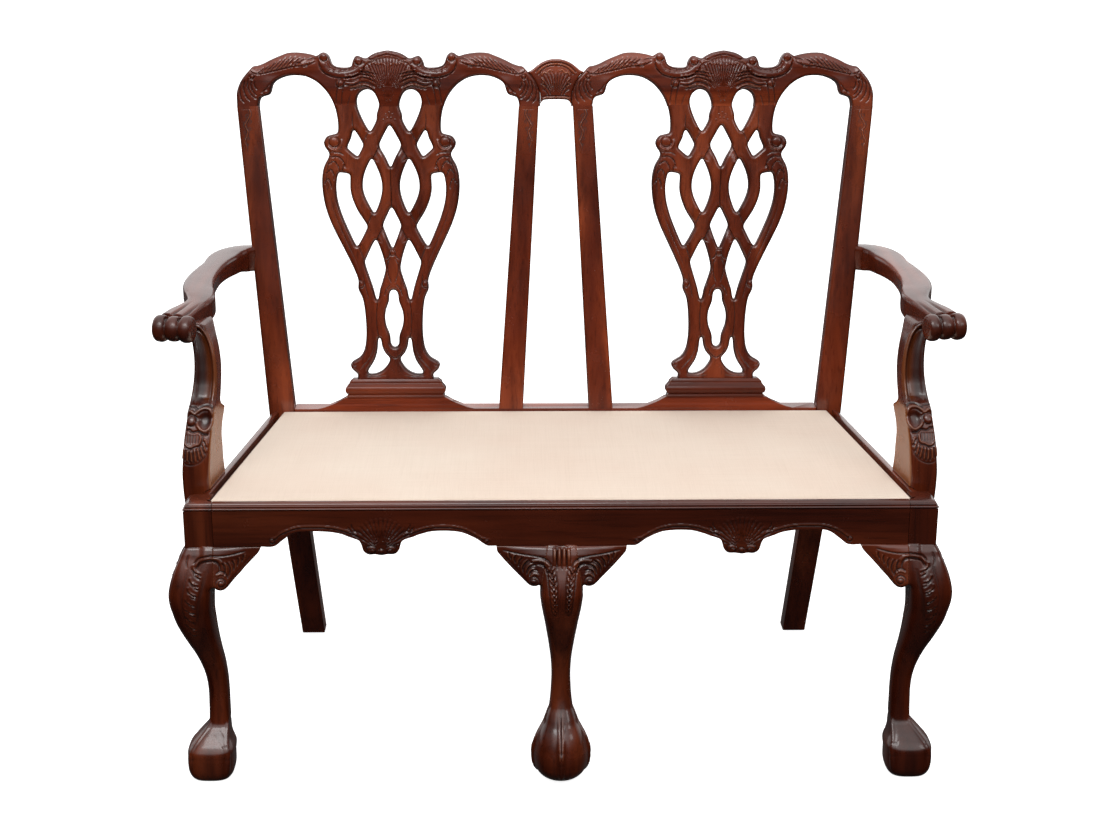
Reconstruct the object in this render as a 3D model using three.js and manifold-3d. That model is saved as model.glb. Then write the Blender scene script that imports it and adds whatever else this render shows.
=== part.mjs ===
// Double-chair-back settee, mahogany, with a drop-in seat.
// Millimetres, +Z up, front towards -Y, X = 0 on the middle line.
// The pieces are laid out with y = 0 on the upright face of the front seat rail;
// the whole group is then shifted so that its origin is at the bottom centre.
import * as THREE from 'three';
import { mergeVertices } from 'three/addons/utils/BufferGeometryUtils.js';
import Module from 'manifold-3d';

const wasm = await Module();
wasm.setup();

// ---------- driving dimensions ----------
const FLOOR_Z = -6;            // the floor in layout heights
const RAIL_TOP = 440;          // top of the seat rails
const RAIL_BOTTOM = 372;       // lower edge of the seat rails
const FRONT_HALF = 557;        // half width over the corner posts
const POST_SQ = 42;            // corner post, square
const BACK_Y = 450.5;          // front face of the back at s = 0
const BACK_Z = 450;            // height of s = 0
const RAKE = 8.84 * Math.PI / 180; // lean of the back
const POST_TOP_S = 500;        // where the posts meet the crest rails
const CREST_T = 26;            // crest rail thickness
const SPLAT_T = 14;            // splat thickness
const SPLAT_SET = 3;           // splat set back from the crest's face
const UNIT_X0 = 270.5;         // middle of each chair back at s = 0
const UNIT_DX = 0.0115;        // and its drift outward per mm of s
const SIDE_X0 = 543.5;         // side rail outer face at y = 0
const SIDE_DX = 0.132;         // and its taper inward per mm of depth
const SIDE_T = 32;             // side rail thickness
const FRONT_T = 34;            // front rail thickness
const RAIL_BACK_TOP = 444;     // top of the rear rail between the saddles
const LEDGE_Z = 412;           // ledge that carries the drop-in seat
const SEAT_TOP = 441.6;        // top of the seat's cover
const GAP = 0.3;               // clearance between touching pieces
const SCROLL_R = 22.5;         // arm end roll
const DEPTH_MID = 265.3;       // y of the middle of the whole depth

// ---------- materials ----------
const mahogany = () => new THREE.MeshStandardMaterial({ color: 0x4a1d10, roughness: 0.3, metalness: 0 });
const mahoganyDark = () => new THREE.MeshStandardMaterial({ color: 0x33130c, roughness: 0.28, metalness: 0 });
const pineWood = () => new THREE.MeshStandardMaterial({ color: 0xa9814f, roughness: 0.7, metalness: 0 });
const cloth = () => new THREE.MeshStandardMaterial({ color: 0xe9d3b8, roughness: 0.9, metalness: 0 });
const hessian = () => new THREE.MeshStandardMaterial({ color: 0xa58a5f, roughness: 0.95, metalness: 0 });
const steel = () => new THREE.MeshStandardMaterial({ color: 0x8a8378, roughness: 0.4, metalness: 1 });

// ---------- solid helpers ----------
function indexed(geo) {
  const g = geo.clone();
  for (const k of Object.keys(g.attributes)) if (k !== 'position') g.deleteAttribute(k);
  return mergeVertices(g, 1e-3);
}
function toSolid(geo) {
  const g = indexed(geo);
  const mesh = new wasm.Mesh({
    numProp: 3,
    vertProperties: new Float32Array(g.attributes.position.array),
    triVerts: new Uint32Array(g.index.array),
  });
  mesh.merge();
  return new wasm.Manifold(mesh);
}
function toGeometry(solid) {
  const m = solid.getMesh();
  const g = new THREE.BufferGeometry();
  const n = m.vertProperties.length / m.numProp;
  const p = new Float32Array(n * 3);
  for (let i = 0; i < n; i++) for (let k = 0; k < 3; k++) p[i * 3 + k] = m.vertProperties[i * m.numProp + k];
  g.setAttribute('position', new THREE.BufferAttribute(p, 3));
  g.setIndex(new THREE.BufferAttribute(new Uint32Array(m.triVerts), 1));
  return g;
}
function mirrored(geo) {
  const g = indexed(geo);
  g.applyMatrix4(new THREE.Matrix4().makeScale(-1, 1, 1));
  const a = g.index.array;
  for (let i = 0; i < a.length; i += 3) { const t = a[i]; a[i] = a[i + 1]; a[i + 1] = t; }
  return g;
}
const cut = (a, ...bs) => bs.reduce((s, b) => s.subtract(b), a);
const join = (a, ...bs) => bs.reduce((s, b) => s.add(b), a);

function boxGeo(x0, x1, y0, y1, z0, z1) {
  const g = new THREE.BoxGeometry(x1 - x0, y1 - y0, z1 - z0);
  g.translate((x0 + x1) / 2, (y0 + y1) / 2, (z0 + z1) / 2);
  return g;
}
const box = (...a) => toSolid(boxGeo(...a));

function shapeOf(points, holes = []) {
  const s = new THREE.Shape(points.map(([x, y]) => new THREE.Vector2(x, y)));
  for (const h of holes) s.holes.push(new THREE.Path(h.map(([x, y]) => new THREE.Vector2(x, y))));
  return s;
}
// extrudes a shape and places it by a basis: shape x, shape y, depth
function prism(points, depth, basis, holes = []) {
  const g = new THREE.ExtrudeGeometry(shapeOf(points, holes), { depth, bevelEnabled: false, steps: 1 });
  g.applyMatrix4(basis);
  return outward(g);
}
// closes up a geometry's shared corners and turns its faces outward
function outward(geo) {
  const g = indexed(geo);
  return volume(g) < 0 ? flipped(g) : g;
}
const V = (x, y, z) => new THREE.Vector3(x, y, z);
function basisOf(ex, ey, ez, o) {
  return new THREE.Matrix4().makeBasis(ex, ey, ez).setPosition(o);
}
// front view shape (x, z) from y0 back to y1
function frontPrism(points, y0, y1, holes = []) {
  return prism(points, y1 - y0, basisOf(V(1, 0, 0), V(0, 0, 1), V(0, -1, 0), V(0, y1, 0)), holes);
}
// side view shape (y, z) from x0 to x1
function sidePrism(points, x0, x1, holes = []) {
  return prism(points, x1 - x0, basisOf(V(0, 1, 0), V(0, 0, 1), V(1, 0, 0), V(x0, 0, 0)), holes);
}
// plan shape (x, y) from z0 to z1
function planPrism(points, z0, z1, holes = []) {
  return prism(points, z1 - z0, basisOf(V(1, 0, 0), V(0, 1, 0), V(0, 0, 1), V(0, 0, z0)), holes);
}
// back view shape (x, s) on the raked back, from n0 to n1 (n = 0 is the front plane)
const SIN = Math.sin(RAKE), COS = Math.cos(RAKE);
const back = (x, s, n) => V(x, BACK_Y + s * SIN - n * COS, BACK_Z + s * COS + n * SIN);
function backPrism(points, n0, n1, holes = []) {
  return prism(points, n1 - n0, basisOf(V(1, 0, 0), V(0, SIN, COS), V(0, -COS, SIN), back(0, 0, n0)), holes);
}
// skins a list of closed rings with equal counts and caps both ends
function loft(rings) {
  const m = rings[0].length, pos = [], idx = [];
  for (const r of rings) for (const p of r) pos.push(p.x, p.y, p.z);
  for (let i = 0; i + 1 < rings.length; i++) {
    for (let j = 0; j < m; j++) {
      const a = i * m + j, b = i * m + (j + 1) % m, c = a + m, d = b + m;
      idx.push(a, b, d, a, d, c);
    }
  }
  const fan = (start, flip) => {
    const c = new THREE.Vector3();
    for (let j = 0; j < m; j++) c.add(V(pos[(start + j) * 3], pos[(start + j) * 3 + 1], pos[(start + j) * 3 + 2]));
    c.divideScalar(m);
    const k = pos.length / 3;
    pos.push(c.x, c.y, c.z);
    for (let j = 0; j < m; j++) {
      const a = start + j, b = start + (j + 1) % m;
      if (flip) idx.push(k, b, a); else idx.push(k, a, b);
    }
  };
  fan(0, true);
  fan((rings.length - 1) * m, false);
  const g = new THREE.BufferGeometry();
  g.setAttribute('position', new THREE.Float32BufferAttribute(pos, 3));
  g.setIndex(idx);
  return volume(g) < 0 ? flipped(g) : g;
}
function volume(g) {
  const p = g.attributes.position, ix = g.index.array;
  let v = 0;
  const a = V(0, 0, 0), b = V(0, 0, 0), c = V(0, 0, 0);
  for (let i = 0; i < ix.length; i += 3) {
    a.fromBufferAttribute(p, ix[i]); b.fromBufferAttribute(p, ix[i + 1]); c.fromBufferAttribute(p, ix[i + 2]);
    v += a.dot(b.cross(c)) / 6;
  }
  return v;
}
function flipped(g) {
  const a = g.index.array;
  for (let i = 0; i < a.length; i += 3) { const t = a[i]; a[i] = a[i + 1]; a[i + 1] = t; }
  return g;
}
const root = new THREE.Group();
root.name = 'settee';
root.position.set(0, -DEPTH_MID, -FLOOR_Z);
function put(name, geo, material) {
  const g = indexed(geo);
  g.computeVertexNormals();
  const mesh = new THREE.Mesh(g, material);
  mesh.name = name;
  root.add(mesh);
  return mesh;
}
function putPair(name, solidOrGeo, material) {
  const g = solidOrGeo.isBufferGeometry ? solidOrGeo : toGeometry(solidOrGeo);
  put(`${name}_right`, g, material());
  put(`${name}_left`, mirrored(g), material());
}

// ---------- outlines ----------
// Rail moulding: distance in from the upright face, height
const MOULD = [[0, 429], [1.2, 430], [-0.8, 431.2], [-0.8, 433.4], [1.6, 434.8], [3.2, 435.6], [4.6, 438], [7.4, 439.5], [10, RAIL_TOP]];
// Half of the crest's top edge, u from the middle of the unit
const CREST_TOP = [[0, 591], [10, 589.5], [20, 587], [28, 583], [34, 579], [38, 578.5], [45, 581], [50, 582.5], [54, 580.5], [58, 573],
  [60, 566], [64, 564], [75, 563.5], [85, 565], [92, 569], [98, 583], [103, 587.5], [108, 587.5], [117, 582.5], [125, 584.5],
  [135, 586.5], [150, 588], [165, 587], [175, 583.5], [185, 579.5], [195, 575], [205, 570], [215, 566.5], [222, 565], [230, 557],
  [236.5, 550], [243, 541], [248, 530], [250.4, 520], [250.3, 500 + GAP]];
const CREST_UNDER = [[215, 500 + GAP], [215, 505], [211.8, 514.2], [197, 520.7], [191.3, 536], [186.5, 541.4], [174.8, 547.4], [160.1, 550.6],
  [135.8, 548.5], [115.9, 538.1], [99.5, 520], [90.2, 500 + GAP], [52.6, 500 + GAP], [53.9, 507], [52.9, 514.6], [49.6, 521.1],
  [43.2, 526.1], [37.2, 527.7], [30.1, 526.6], [24.2, 522.5], [19.2, 513.5], [16.9, 500 + GAP]];
const SPLAT_SIDE = [[89.4, 500], [85.4, 475.5], [86.1, 458.6], [88.1, 456], [103.7, 451], [109.4, 441.7], [108.2, 434.4], [101.3, 421.5],
  [109.8, 402.8], [113.2, 390.1], [114.5, 373.2], [113.3, 354.3], [109.7, 333.8], [101.5, 308.7], [59.2, 214], [58.9, 197.4], [52, 180.2],
  [47.9, 144.6], [48.3, 112.4], [52.1, 94], [59.1, 82.9], [72.9, 73.6], [75.3, 68.8], [73, 61.9], [64.1, 52.5], [64.4, 45.4]];
const TEAR_LOW = [[52.2, 500], [46, 481.7], [37.5, 465.1], [32.8, 459.9], [29.2, 462.9], [21.7, 477.7], [16.8, 500]];
const HOLES_SIDE = [
  [[59.4, 460.5], [55.7, 457.6], [44.9, 437.9], [50.2, 424.3], [55, 418.8], [70.8, 432.7]],
  [[29, 325.4], [33.5, 330.4], [42.7, 348.7], [47.3, 369.9], [45.8, 383], [41.3, 396.8], [34.2, 410.7], [30.6, 413.1], [27.5, 410], [19.3, 391.1], [14.9, 369.9], [15.7, 357.9], [19.4, 343.8], [25.2, 329.3]],
  [[59.6, 269.7], [62.6, 273.2], [78.7, 309.9], [89.1, 343.2], [91.1, 372.7], [88.6, 386.4], [84.4, 391], [68.2, 387.4], [67.8, 365.1], [64.1, 346.3], [56.7, 328.6], [41.6, 303.3], [42.8, 296.8], [57.2, 271]],
  [[27.7, 179.1], [30.2, 182.6], [46.8, 241.1], [44.1, 249.9], [27.8, 278.8], [25.2, 276.7], [18.1, 257.7], [12.6, 231.3]],
  [[25.4, 114], [19.1, 93.5], [9.6, 80.4], [9.6, 75.9], [16.2, 65.1], [23.3, 58.6], [34, 54], [44.5, 53.9], [46.2, 57.7], [34.1, 78.7], [30.3, 91.8], [27.9, 111.1]],
];
const HOLES_MID = [
  [[0, 401.4], [16.2, 431], [17.6, 437.1], [4, 464.7], [0, 468.4], [-4, 464.7], [-17.6, 437.1], [-16.2, 431]],
  [[0, 266.6], [2.6, 269.7], [14.9, 302.7], [7.3, 321.5], [0, 332.7], [-7.3, 321.5], [-14.9, 302.7], [-2.6, 269.7]],
  [[0, 99.2], [6.7, 105.2], [8, 118.4], [14, 136], [15.5, 147.9], [7, 189.4], [0, 195.4], [-7, 189.4], [-15.5, 147.9], [-14, 136], [-8, 118.4], [-6.7, 105.2]],
];
const flipU = (pts) => pts.map(([u, s]) => [-u, s]).reverse();
// place unit points (u, s) on the right-hand chair back
const unitX = (pts) => pts.map(([u, s]) => [u + UNIT_X0 + UNIT_DX * s, s]);

// ---------- rear posts: leg and back post in one ----------
const postOuter = (s) => 486.5 + 0.0808 * s;
const postInner = (s) => 443 + 0.097 * s;
function postRing(s) {
  const t = 32 - 0.01 * s, a = postInner(s), b = postOuter(s);
  return [back(a, s, 0), back(b, s, 0), back(b, s, -t), back(a, s, -t)];
}
function legRing(z) {
  const f = Math.max(0, (RAIL_BOTTOM - z) / (RAIL_BOTTOM - FLOOR_Z));
  const y0 = BACK_Y + 86.5 * Math.pow(f, 1.15), d = 37.5 - 0.5 * f;
  const xc = 464.75 - 0.0655 * (BACK_Z - z), w = 21.75 - 1.75 * Math.min(1, (BACK_Z - z) / 456);
  return [V(xc - w, y0, z), V(xc + w, y0, z), V(xc + w, y0 + d, z), V(xc - w, y0 + d, z)];
}
const postBody = toSolid(loft([postRing(POST_TOP_S), postRing(250), postRing(0), legRing(RAIL_BOTTOM), legRing(310), legRing(240), legRing(160), legRing(80), legRing(FLOOR_Z)]));
// stub tenon up into the crest rail
const crestTenon = toSolid(backPrism([[497, 498], [518, 498], [518, 516], [497, 516]], -18.5, -8.5));
const postWithTenon = join(postBody, crestTenon);

// ---------- inner stiles ----------
const stileBody = toSolid(backPrism([[56, -12], [97, -12], [61.5, POST_TOP_S], [28.5, POST_TOP_S]], -28, 0));
const stileTenonTop = toSolid(backPrism([[37, 498], [56, 498], [56, 516], [37, 516]], -18.5, -8.5));
const stileFoot = toSolid(boxGeo(62, 88, 458, 470, 425, 452));
const stile = join(cut(stileBody, box(0, 200, 400, 520, 400, RAIL_BACK_TOP + GAP)), stileTenonTop, stileFoot);

// ---------- crest rails ----------
const crestOutline = unitX([...CREST_TOP, ...CREST_UNDER, ...flipU(CREST_UNDER), ...flipU(CREST_TOP).slice(0, -1)]);
let crest = toSolid(backPrism(crestOutline, -CREST_T, 0));
const mortise = (x0, x1, s0, s1, n0, n1) => toSolid(backPrism([[x0 - GAP, s0 - 2], [x1 + GAP, s0 - 2], [x1 + GAP, s1 + GAP], [x0 - GAP, s1 + GAP]], n0 - GAP, n1 + GAP));
crest = cut(crest, mortise(497, 518, 500, 516, -18.5, -8.5), mortise(37, 56, 500, 516, -18.5, -8.5));
const xm = UNIT_X0 + UNIT_DX * 500;
const splatTenons = [[xm - 12, xm + 12], [xm + 58, xm + 84], [xm - 84, xm - 58]];
for (const [a, b] of splatTenons) crest = cut(crest, mortise(a, b, 500, 514, -14, -6));

// ---------- short link between the two crest rails ----------
const linkRight = [[0, 577], [8, 576.6], [16, 574.6], [24, 571], [32, 565.5], [40, 559], [47, 555.6]];
const linkShoulder = [[46, 556.6], [39.6, 550], [33.6, 541], [28.6, 530], [25.4, 520], [25.6, 503], [25.2, 501], [22, 505.5], [14, 509.5], [6, 511], [0, 511.3]];
const linkOutline = [...linkRight.slice(0, -1), ...linkShoulder, ...flipU(linkShoulder).slice(1), ...flipU(linkRight.slice(0, -1)).slice(0, -1)];
let link = toSolid(backPrism(linkOutline, -24, -0.5));
// the crest rails' inner ends cut the link's shoulders, with the gap all round
const crestGrown = toSolid(backPrism(unitX([...CREST_TOP.slice(23), [248.5, 470], [150, 470], [150, 588]].map(([u, s]) => [-(u + (s < 585 ? GAP : 0)), s + (s > 520 ? GAP : 0)]).reverse()), -40, 10));
link = cut(link, crestGrown, toSolid(mirrored(toGeometry(crestGrown))));

// ---------- splats ----------
const splatTop = [[89.4, 500], ...TEAR_LOW.map((p) => [p[0], Math.min(p[1], 500)]), ...flipU(TEAR_LOW), [-89.4, 500]];
const splatOutline = unitX([...splatTop, ...flipU(SPLAT_SIDE).reverse().slice(1), ...[...SPLAT_SIDE].reverse().slice(0, -1)]);
const holeList = [...HOLES_SIDE.map(unitX), ...HOLES_SIDE.map(flipU).map(unitX), ...HOLES_MID.map(unitX)];
let splat = toSolid(backPrism(splatOutline, -SPLAT_SET - SPLAT_T, -SPLAT_SET, holeList));
for (const [a, b] of splatTenons) splat = join(splat, toSolid(backPrism([[a, 498], [b, 498], [b, 514], [a, 514]], -14, -6)));
splat = join(splat, toSolid(backPrism([[222, 28], [320, 28], [320, 48], [222, 48]], -15, -7)));

// ---------- splat shoes ----------
const shoeSection = [[-27, 14.2], [2.8, 14.2], [3.4, 17], [1.6, 19.6], [4.6, 22], [6, 26], [5.4, 31], [3.2, 35], [1.8, 37.4], [1.4, 40.6], [-0.6, 45], [-27, 45]];
// section (n, s) swept along x between the shoe's ends
function shoe() {
  const g = prism(shoeSection, 166, basisOf(V(0, -COS, SIN), V(0, SIN, COS), V(1, 0, 0), back(UNIT_X0 - 83 + 0.3, 0, 0)));
  const plan = backPrism(unitX([[82, 14], [79.8, 19.6], [83, 22], [84.5, 26], [83.6, 31], [80.4, 35], [78, 38], [72, 45.2], [-72, 45.2], [-78, 38], [-80.4, 35], [-83.6, 31], [-84.5, 26], [-83, 22], [-79.8, 19.6], [-82, 14]]), -40, 20);
  return cut(toSolid(g).intersect(toSolid(plan)), toSolid(backPrism([[221.6, 27.6], [320.4, 27.6], [320.4, 48], [221.6, 48]], -15.4, -6.6)));
}

// ---------- rear seat rail with its raised saddles ----------
const railEndTop = 442.2, railEndBottom = 437.6;
let rearRail = toSolid(frontPrism([[-railEndBottom + 0.2, 374], [railEndBottom - 0.2, 374], [railEndTop, RAIL_BACK_TOP], [-railEndTop, RAIL_BACK_TOP]], BACK_Y + GAP, 482));
for (const sx of [1, -1]) {
  const saddle = [[132, -14], [132, -5.6], [121, -3.2], [110.4, 1], [97, 6.6], [88.5, 11.4], [84, 13.9], [-84, 13.9], [-88.5, 11.4], [-97, 6.6], [-110.4, 1], [-121, -3.2], [-132, -5.6], [-132, -14]];
  const g = backPrism(unitX(saddle), -28, -GAP);
  rearRail = rearRail.add(toSolid(sx > 0 ? g : mirrored(g)));
}
rearRail = cut(rearRail, box(-600, 600, 400, BACK_Y + GAP, 300, 500), box(61.7, 88.3, 457.7, 470.3, 424.7, 460), box(-88.3, -61.7, 457.7, 470.3, 424.7, 460));

// ---------- seat cavity: the space that the drop-in seat lies in ----------
const seatX = (y) => 522.6 - 0.1335 * y;
const cavity = toSolid(planPrism([[-seatX(11.6), 11.6], [seatX(11.6), 11.6], [seatX(BACK_Y + 0.3), BACK_Y + 0.3], [-seatX(BACK_Y + 0.3), BACK_Y + 0.3]], LEDGE_Z, 470));

// ---------- front seat rail ----------
const RAIL_EDGE = [[514.3, 372], [443, 372], [430, 371.6], [423, 373.5], [415, 380], [408, 385.5], [400, 391.5], [391, 395], [375, 396], [345, 395], [332, 393],
  [324, 391], [316, 387.5], [308, 384.5], [300, 381], [297, 376], [293, 364], [286, 359], [276, 359.4], [268, 358], [258, 359.4], [247, 360], [241, 366], [236, 380], [228, 384],
  [220, 386.5], [213, 389.5], [205, 392], [198, 394], [190, 395.4], [176, 396], [161, 395.4], [149, 393.6], [140, 390.4], [131, 386], [124, 382], [117, 376.6], [110, 372.4], [98, 372], [21, 372]];
const railFront = [...RAIL_EDGE, ...RAIL_EDGE.map(([x, z]) => [-x, z]).reverse(), [-514.3, 445], [514.3, 445]];
const railSection = [[0, 340], ...MOULD, [FRONT_T, RAIL_TOP], [FRONT_T, 340]];
let frontRail = toSolid(sidePrism(railSection, -600, 600)).intersect(toSolid(frontPrism(railFront, -20, 60)));
frontRail = cut(frontRail, cavity, box(-20.3, 20.3, 13.7, 60, 300, 411.8));

// ---------- side seat rails ----------
const sideLean = Math.atan(SIDE_DX);
// side rail section: distance in from the outer face, height
const sideSection = [[0, RAIL_BOTTOM], ...MOULD, [SIDE_T, RAIL_TOP], [SIDE_T, RAIL_BOTTOM]];
const sideRun = prism(sideSection, 620, basisOf(
  V(-Math.cos(sideLean), -Math.sin(sideLean), 0), V(0, 0, 1), V(-Math.sin(sideLean), Math.cos(sideLean), 0),
  V(SIDE_X0 + SIDE_DX * 60, -60, 0)));
let sideRail = toSolid(sideRun);
sideRail = sideRail.intersect(box(300, 700, POST_SQ + 0.6, BACK_Y - GAP, 300, 500));
sideRail = cut(sideRail, cavity);

// ---------- front legs ----------
// layout height, offset out along the leg's own direction, width, squareness
const LEG = [
  [374, 8.5, 41.4, 9], [372, 8.5, 41.8, 9], [360, 13.4, 47, 7], [350, 17.5, 52, 6], [337, 21.5, 58, 5], [325, 25, 62, 4.2], [312, 28, 65, 3.8], [301, 29.8, 66, 3.6], [285, 30, 64.5, 3.4],
  [269, 28, 61, 3.2], [251, 24.2, 58, 3], [233, 18.8, 53, 2.8], [215, 12.4, 47.3, 2.7], [196, 5, 41.5, 2.6], [177, -1.5, 37.5, 2.5], [159, -6, 34.4, 2.4],
  [141, -8.8, 32.6, 2.3], [123, -10, 32, 2.2], [106, -10, 32, 2.2], [92, -8.6, 34.5, 2.2], [80, -5, 41, 2.2], [68, -1, 50, 2.2], [54, 3.4, 62, 2.2],
  [40, 6.4, 70, 2.2], [26, 8, 73, 2.2], [12, 8.6, 71, 2.2], [2, 8.6, 62, 2.2], [FLOOR_Z, 8.6, 50, 2.2]];
const LEG_MID = [
  [374, 0, 41.4, 9], [372, 0, 41.8, 9], [360, 5, 45, 7], [350, 9, 49, 6], [337, 13, 54, 5], [325, 16.5, 58, 4.2], [312, 19.5, 61, 3.8], [301, 21.3, 62.5, 3.6], [285, 21.5, 60, 3.4],
  [269, 20, 55.5, 3.2], [252, 17.5, 50.5, 3], [235, 13, 45.5, 2.8], [220, 9, 41, 2.7], [203, 4.5, 36.5, 2.6], [187, 1, 32.6, 2.5], [170, -1, 30, 2.4],
  [154, -2, 29, 2.3], [137, -2, 30, 2.2], [120, 0, 33, 2.2], [104, 4, 39.5, 2.2], [88, 9, 50, 2.2], [72, 14, 62, 2.2], [56, 18, 70, 2.2],
  [40, 20.5, 74, 2.2], [26, 21.5, 75, 2.2], [12, 21.5, 72, 2.2], [2, 21.5, 62, 2.2], [FLOOR_Z, 21.5, 50, 2.2]];
function legRings(table, cx, cy, dirX, dirY, claw) {
  const m = 20, rings = [];
  for (const [z, d, w, p] of table) {
    const ring = [];
    // claws swell at the four points of the leg's own frame, low down
    const k = z < 96 ? claw * Math.min(1, (96 - z) / 50) * (z < 12 ? Math.max(0.2, (z + 14) / 26) : 1) : 0;
    const yShift = z < 150 ? -8.5 * Math.min(1, (150 - z) / 120) * (claw > 0 && dirX !== 0 ? 1 : 0) : 0;
    for (let i = 0; i < m; i++) {
      const t = 2 * Math.PI * i / m + Math.PI / m;
      const c = Math.cos(t), s = Math.sin(t);
      const r = (w / 2) / Math.pow(Math.pow(Math.abs(c), p) + Math.pow(Math.abs(s), p), 1 / p);
      const own = t - Math.atan2(dirY, dirX);
      const g = 1 + k * Math.pow(Math.max(0, Math.cos(4 * own)), 2);
      ring.push(V(cx + dirX * d + r * g * c, cy + dirY * d + r * g * s + yShift, z));
    }
    rings.push(ring);
  }
  return rings;
}
// corner legs: the base of the offset is inboard of the post's middle
const cornerRings = legRings(LEG, 530, 27, Math.SQRT1_2, -Math.SQRT1_2, 0.16);
let cornerLeg = toSolid(loft(cornerRings));
const postProfileY = [[0, RAIL_BOTTOM], ...MOULD, [POST_SQ, RAIL_TOP], [POST_SQ, RAIL_BOTTOM]];
const postFront = toSolid(sidePrism(postProfileY, 500, 600));
const postSide = toSolid(frontPrism(postProfileY.map(([a, z]) => [FRONT_HALF - a, z]), -20, 80));
let cornerPost = postFront.intersect(postSide).intersect(box(FRONT_HALF - POST_SQ, 600, -20, POST_SQ, 300, 500));
cornerPost = cut(cornerPost, cavity);
cornerLeg = cornerLeg.add(cornerPost);
cornerLeg = cornerLeg.subtract(box(400, 700, -100, 200, -60, FLOOR_Z));

let midLeg = toSolid(loft(legRings(LEG_MID, 0, 21, 0, -1, 0.25)));
midLeg = midLeg.intersect(box(-100, 100, -100, 100, FLOOR_Z, 371.7));
midLeg = midLeg.add(box(-20, 20, 14, POST_SQ, 365, 411.5));

// ---------- knee brackets ----------
// front view: distance from the leg's edge, lower edge height; swelling of the front
function bracket(pts, yBack, yFront) {
  // pts: [x, lowZ, bulge], from the leg outwards; the front swells below the rail
  const rings = pts.map(([x, z, b]) => {
    const top = RAIL_BOTTOM - GAP, h = top - z;
    return [V(x, yBack, top), V(x, yBack, z + Math.min(3, h * 0.4)), V(x, yBack - 6, z), V(x, yFront - b * 0.75, z + h * 0.04), V(x, yFront - b, z + h * 0.3), V(x, yFront - b * 0.62, z + h * 0.66), V(x, yFront, top)];
  });
  return toSolid(loft(rings));
}
// grown legs clear the brackets
function grownTable(table, e) { return table.map(([z, d, w, p]) => [z, d, w + 2 * e, p]); }
const cornerGrown = toSolid(loft(legRings(grownTable(LEG, GAP), 530, 27, Math.SQRT1_2, -Math.SQRT1_2, 0.16)));
const midGrown = toSolid(loft(legRings(grownTable(LEG_MID, GAP), 0, 21, 0, -1, 0.25)));
const midBracket = bracket([[22, 303, 20], [31, 306, 18], [39, 309, 16], [46, 309.5, 14.5], [54, 313, 13], [61, 321, 11], [68, 329, 9], [76, 340, 6.5], [83, 348, 5], [91, 357, 2.5], [97, 368, 0.3]], 34, -0.6).subtract(midGrown);
const frontBracket = bracket([[522, 303, 20], [514, 304.5, 18], [507, 304, 16], [500, 305.5, 14.5], [492, 314, 12], [484, 324, 10], [476, 333, 8], [469, 342, 6], [461, 350.5, 4.5], [453, 358.5, 2.5], [445.5, 368, 0.3]], 34, -0.6).subtract(cornerGrown);
// the side bracket runs back along the side rail; built like the front one and turned
let sideBracket;
{
  const pts = [[48, 303, 20], [54, 304, 18], [60, 304, 16], [67, 306, 14], [76, 317, 11], [86, 331, 8.5], [96, 343, 6], [108, 355, 3.5], [118, 368, 0.4]];
  const rings = pts.map(([y, z, b]) => {
    const top = RAIL_BOTTOM - GAP, h = top - z, xo = SIDE_X0 - SIDE_DX * y, xi = xo - 30;
    const sw = b * 0.62;
    return [V(xi, y, top), V(xi, y, z + Math.min(3, h * 0.4)), V(xi + 6, y, z), V(xo + sw * 0.75, y, z + h * 0.04), V(xo + sw, y, z + h * 0.3), V(xo + sw * 0.62, y, z + h * 0.66), V(xo, y, top)];
  });
  // the first ring starts inside the leg, then the grown leg is taken away
  rings.unshift([V(508, 34, 371.7), V(508, 34, 306), V(514, 34, 303), V(548, 34, 305), V(552, 34, 324), V(549, 34, 349), V(540, 34, 371.7)]);
  sideBracket = toSolid(loft(rings)).subtract(cornerGrown);
  sideBracket = sideBracket.intersect(box(300, 700, POST_SQ + 0.3, 200, 200, RAIL_BOTTOM - GAP));
}

// ---------- arms ----------
// plan of the arm: [inner x, inner y, outer x, outer y, top z, thickness], from the post forwards
const ARM = [
  [505.6, 488.5, 505.6, 514, 716, 42], [517, 474, 532, 514, 715.5, 40], [527, 455, 554, 496, 714.5, 36], [534, 425, 566, 464, 713, 33], [538, 395, 574, 416, 711.5, 31],
  [541, 360, 583, 371, 710, 29], [542, 325, 588, 334, 708.5, 28.5], [541, 295, 589.5, 302, 707, 28.5], [537, 265, 585.5, 269, 705.5, 29], [531, 238, 577, 240, 704, 31],
  [528, 212, 571, 214, 702, 34], [533, 188, 572, 197, 700, 37], [540, 168, 581, 177, 698, 37], [544, 148, 593, 158, 696, 35], [545, 125, 600, 141, 694, 32]];
function armRing([xi, yi, xo, yo, zt, th], grow = 0) {
  const zb = zt - th - grow, w = Math.hypot(xo - xi, yo - yi);
  const ux = (xo - xi) / w, uy = (yo - yi) / w;
  const at = (d, z) => V(xi + ux * d, yi + uy * d, z);
  return [at(-grow, zb + 8), at(7, zb), at(w - 7, zb), at(w + grow, zb + 8), at(w + grow, zt - 6), at(w - 4, zt - 1.2), at(w / 2, zt), at(4, zt - 1.2), at(-grow, zt - 6)];
}
let arm = toSolid(loft(ARM.map((r) => armRing(r))));
// rolled end: three rounded lobes on an axis turned outward by the splay
const lobes = [[0, -33], [15, -32.4], [20, -29], [SCROLL_R, -22.5], [21.5, -14], [19.4, -11], [21.5, -8], [SCROLL_R, 0], [21.5, 8], [19.4, 11], [21.5, 14], [SCROLL_R, 22.5], [20, 29], [15, 32.4], [0, 33]];
const lobeGeo = new THREE.LatheGeometry(lobes.map(([r, t]) => new THREE.Vector2(r, t)), 18);
const splay = 18 * Math.PI / 180;
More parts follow.
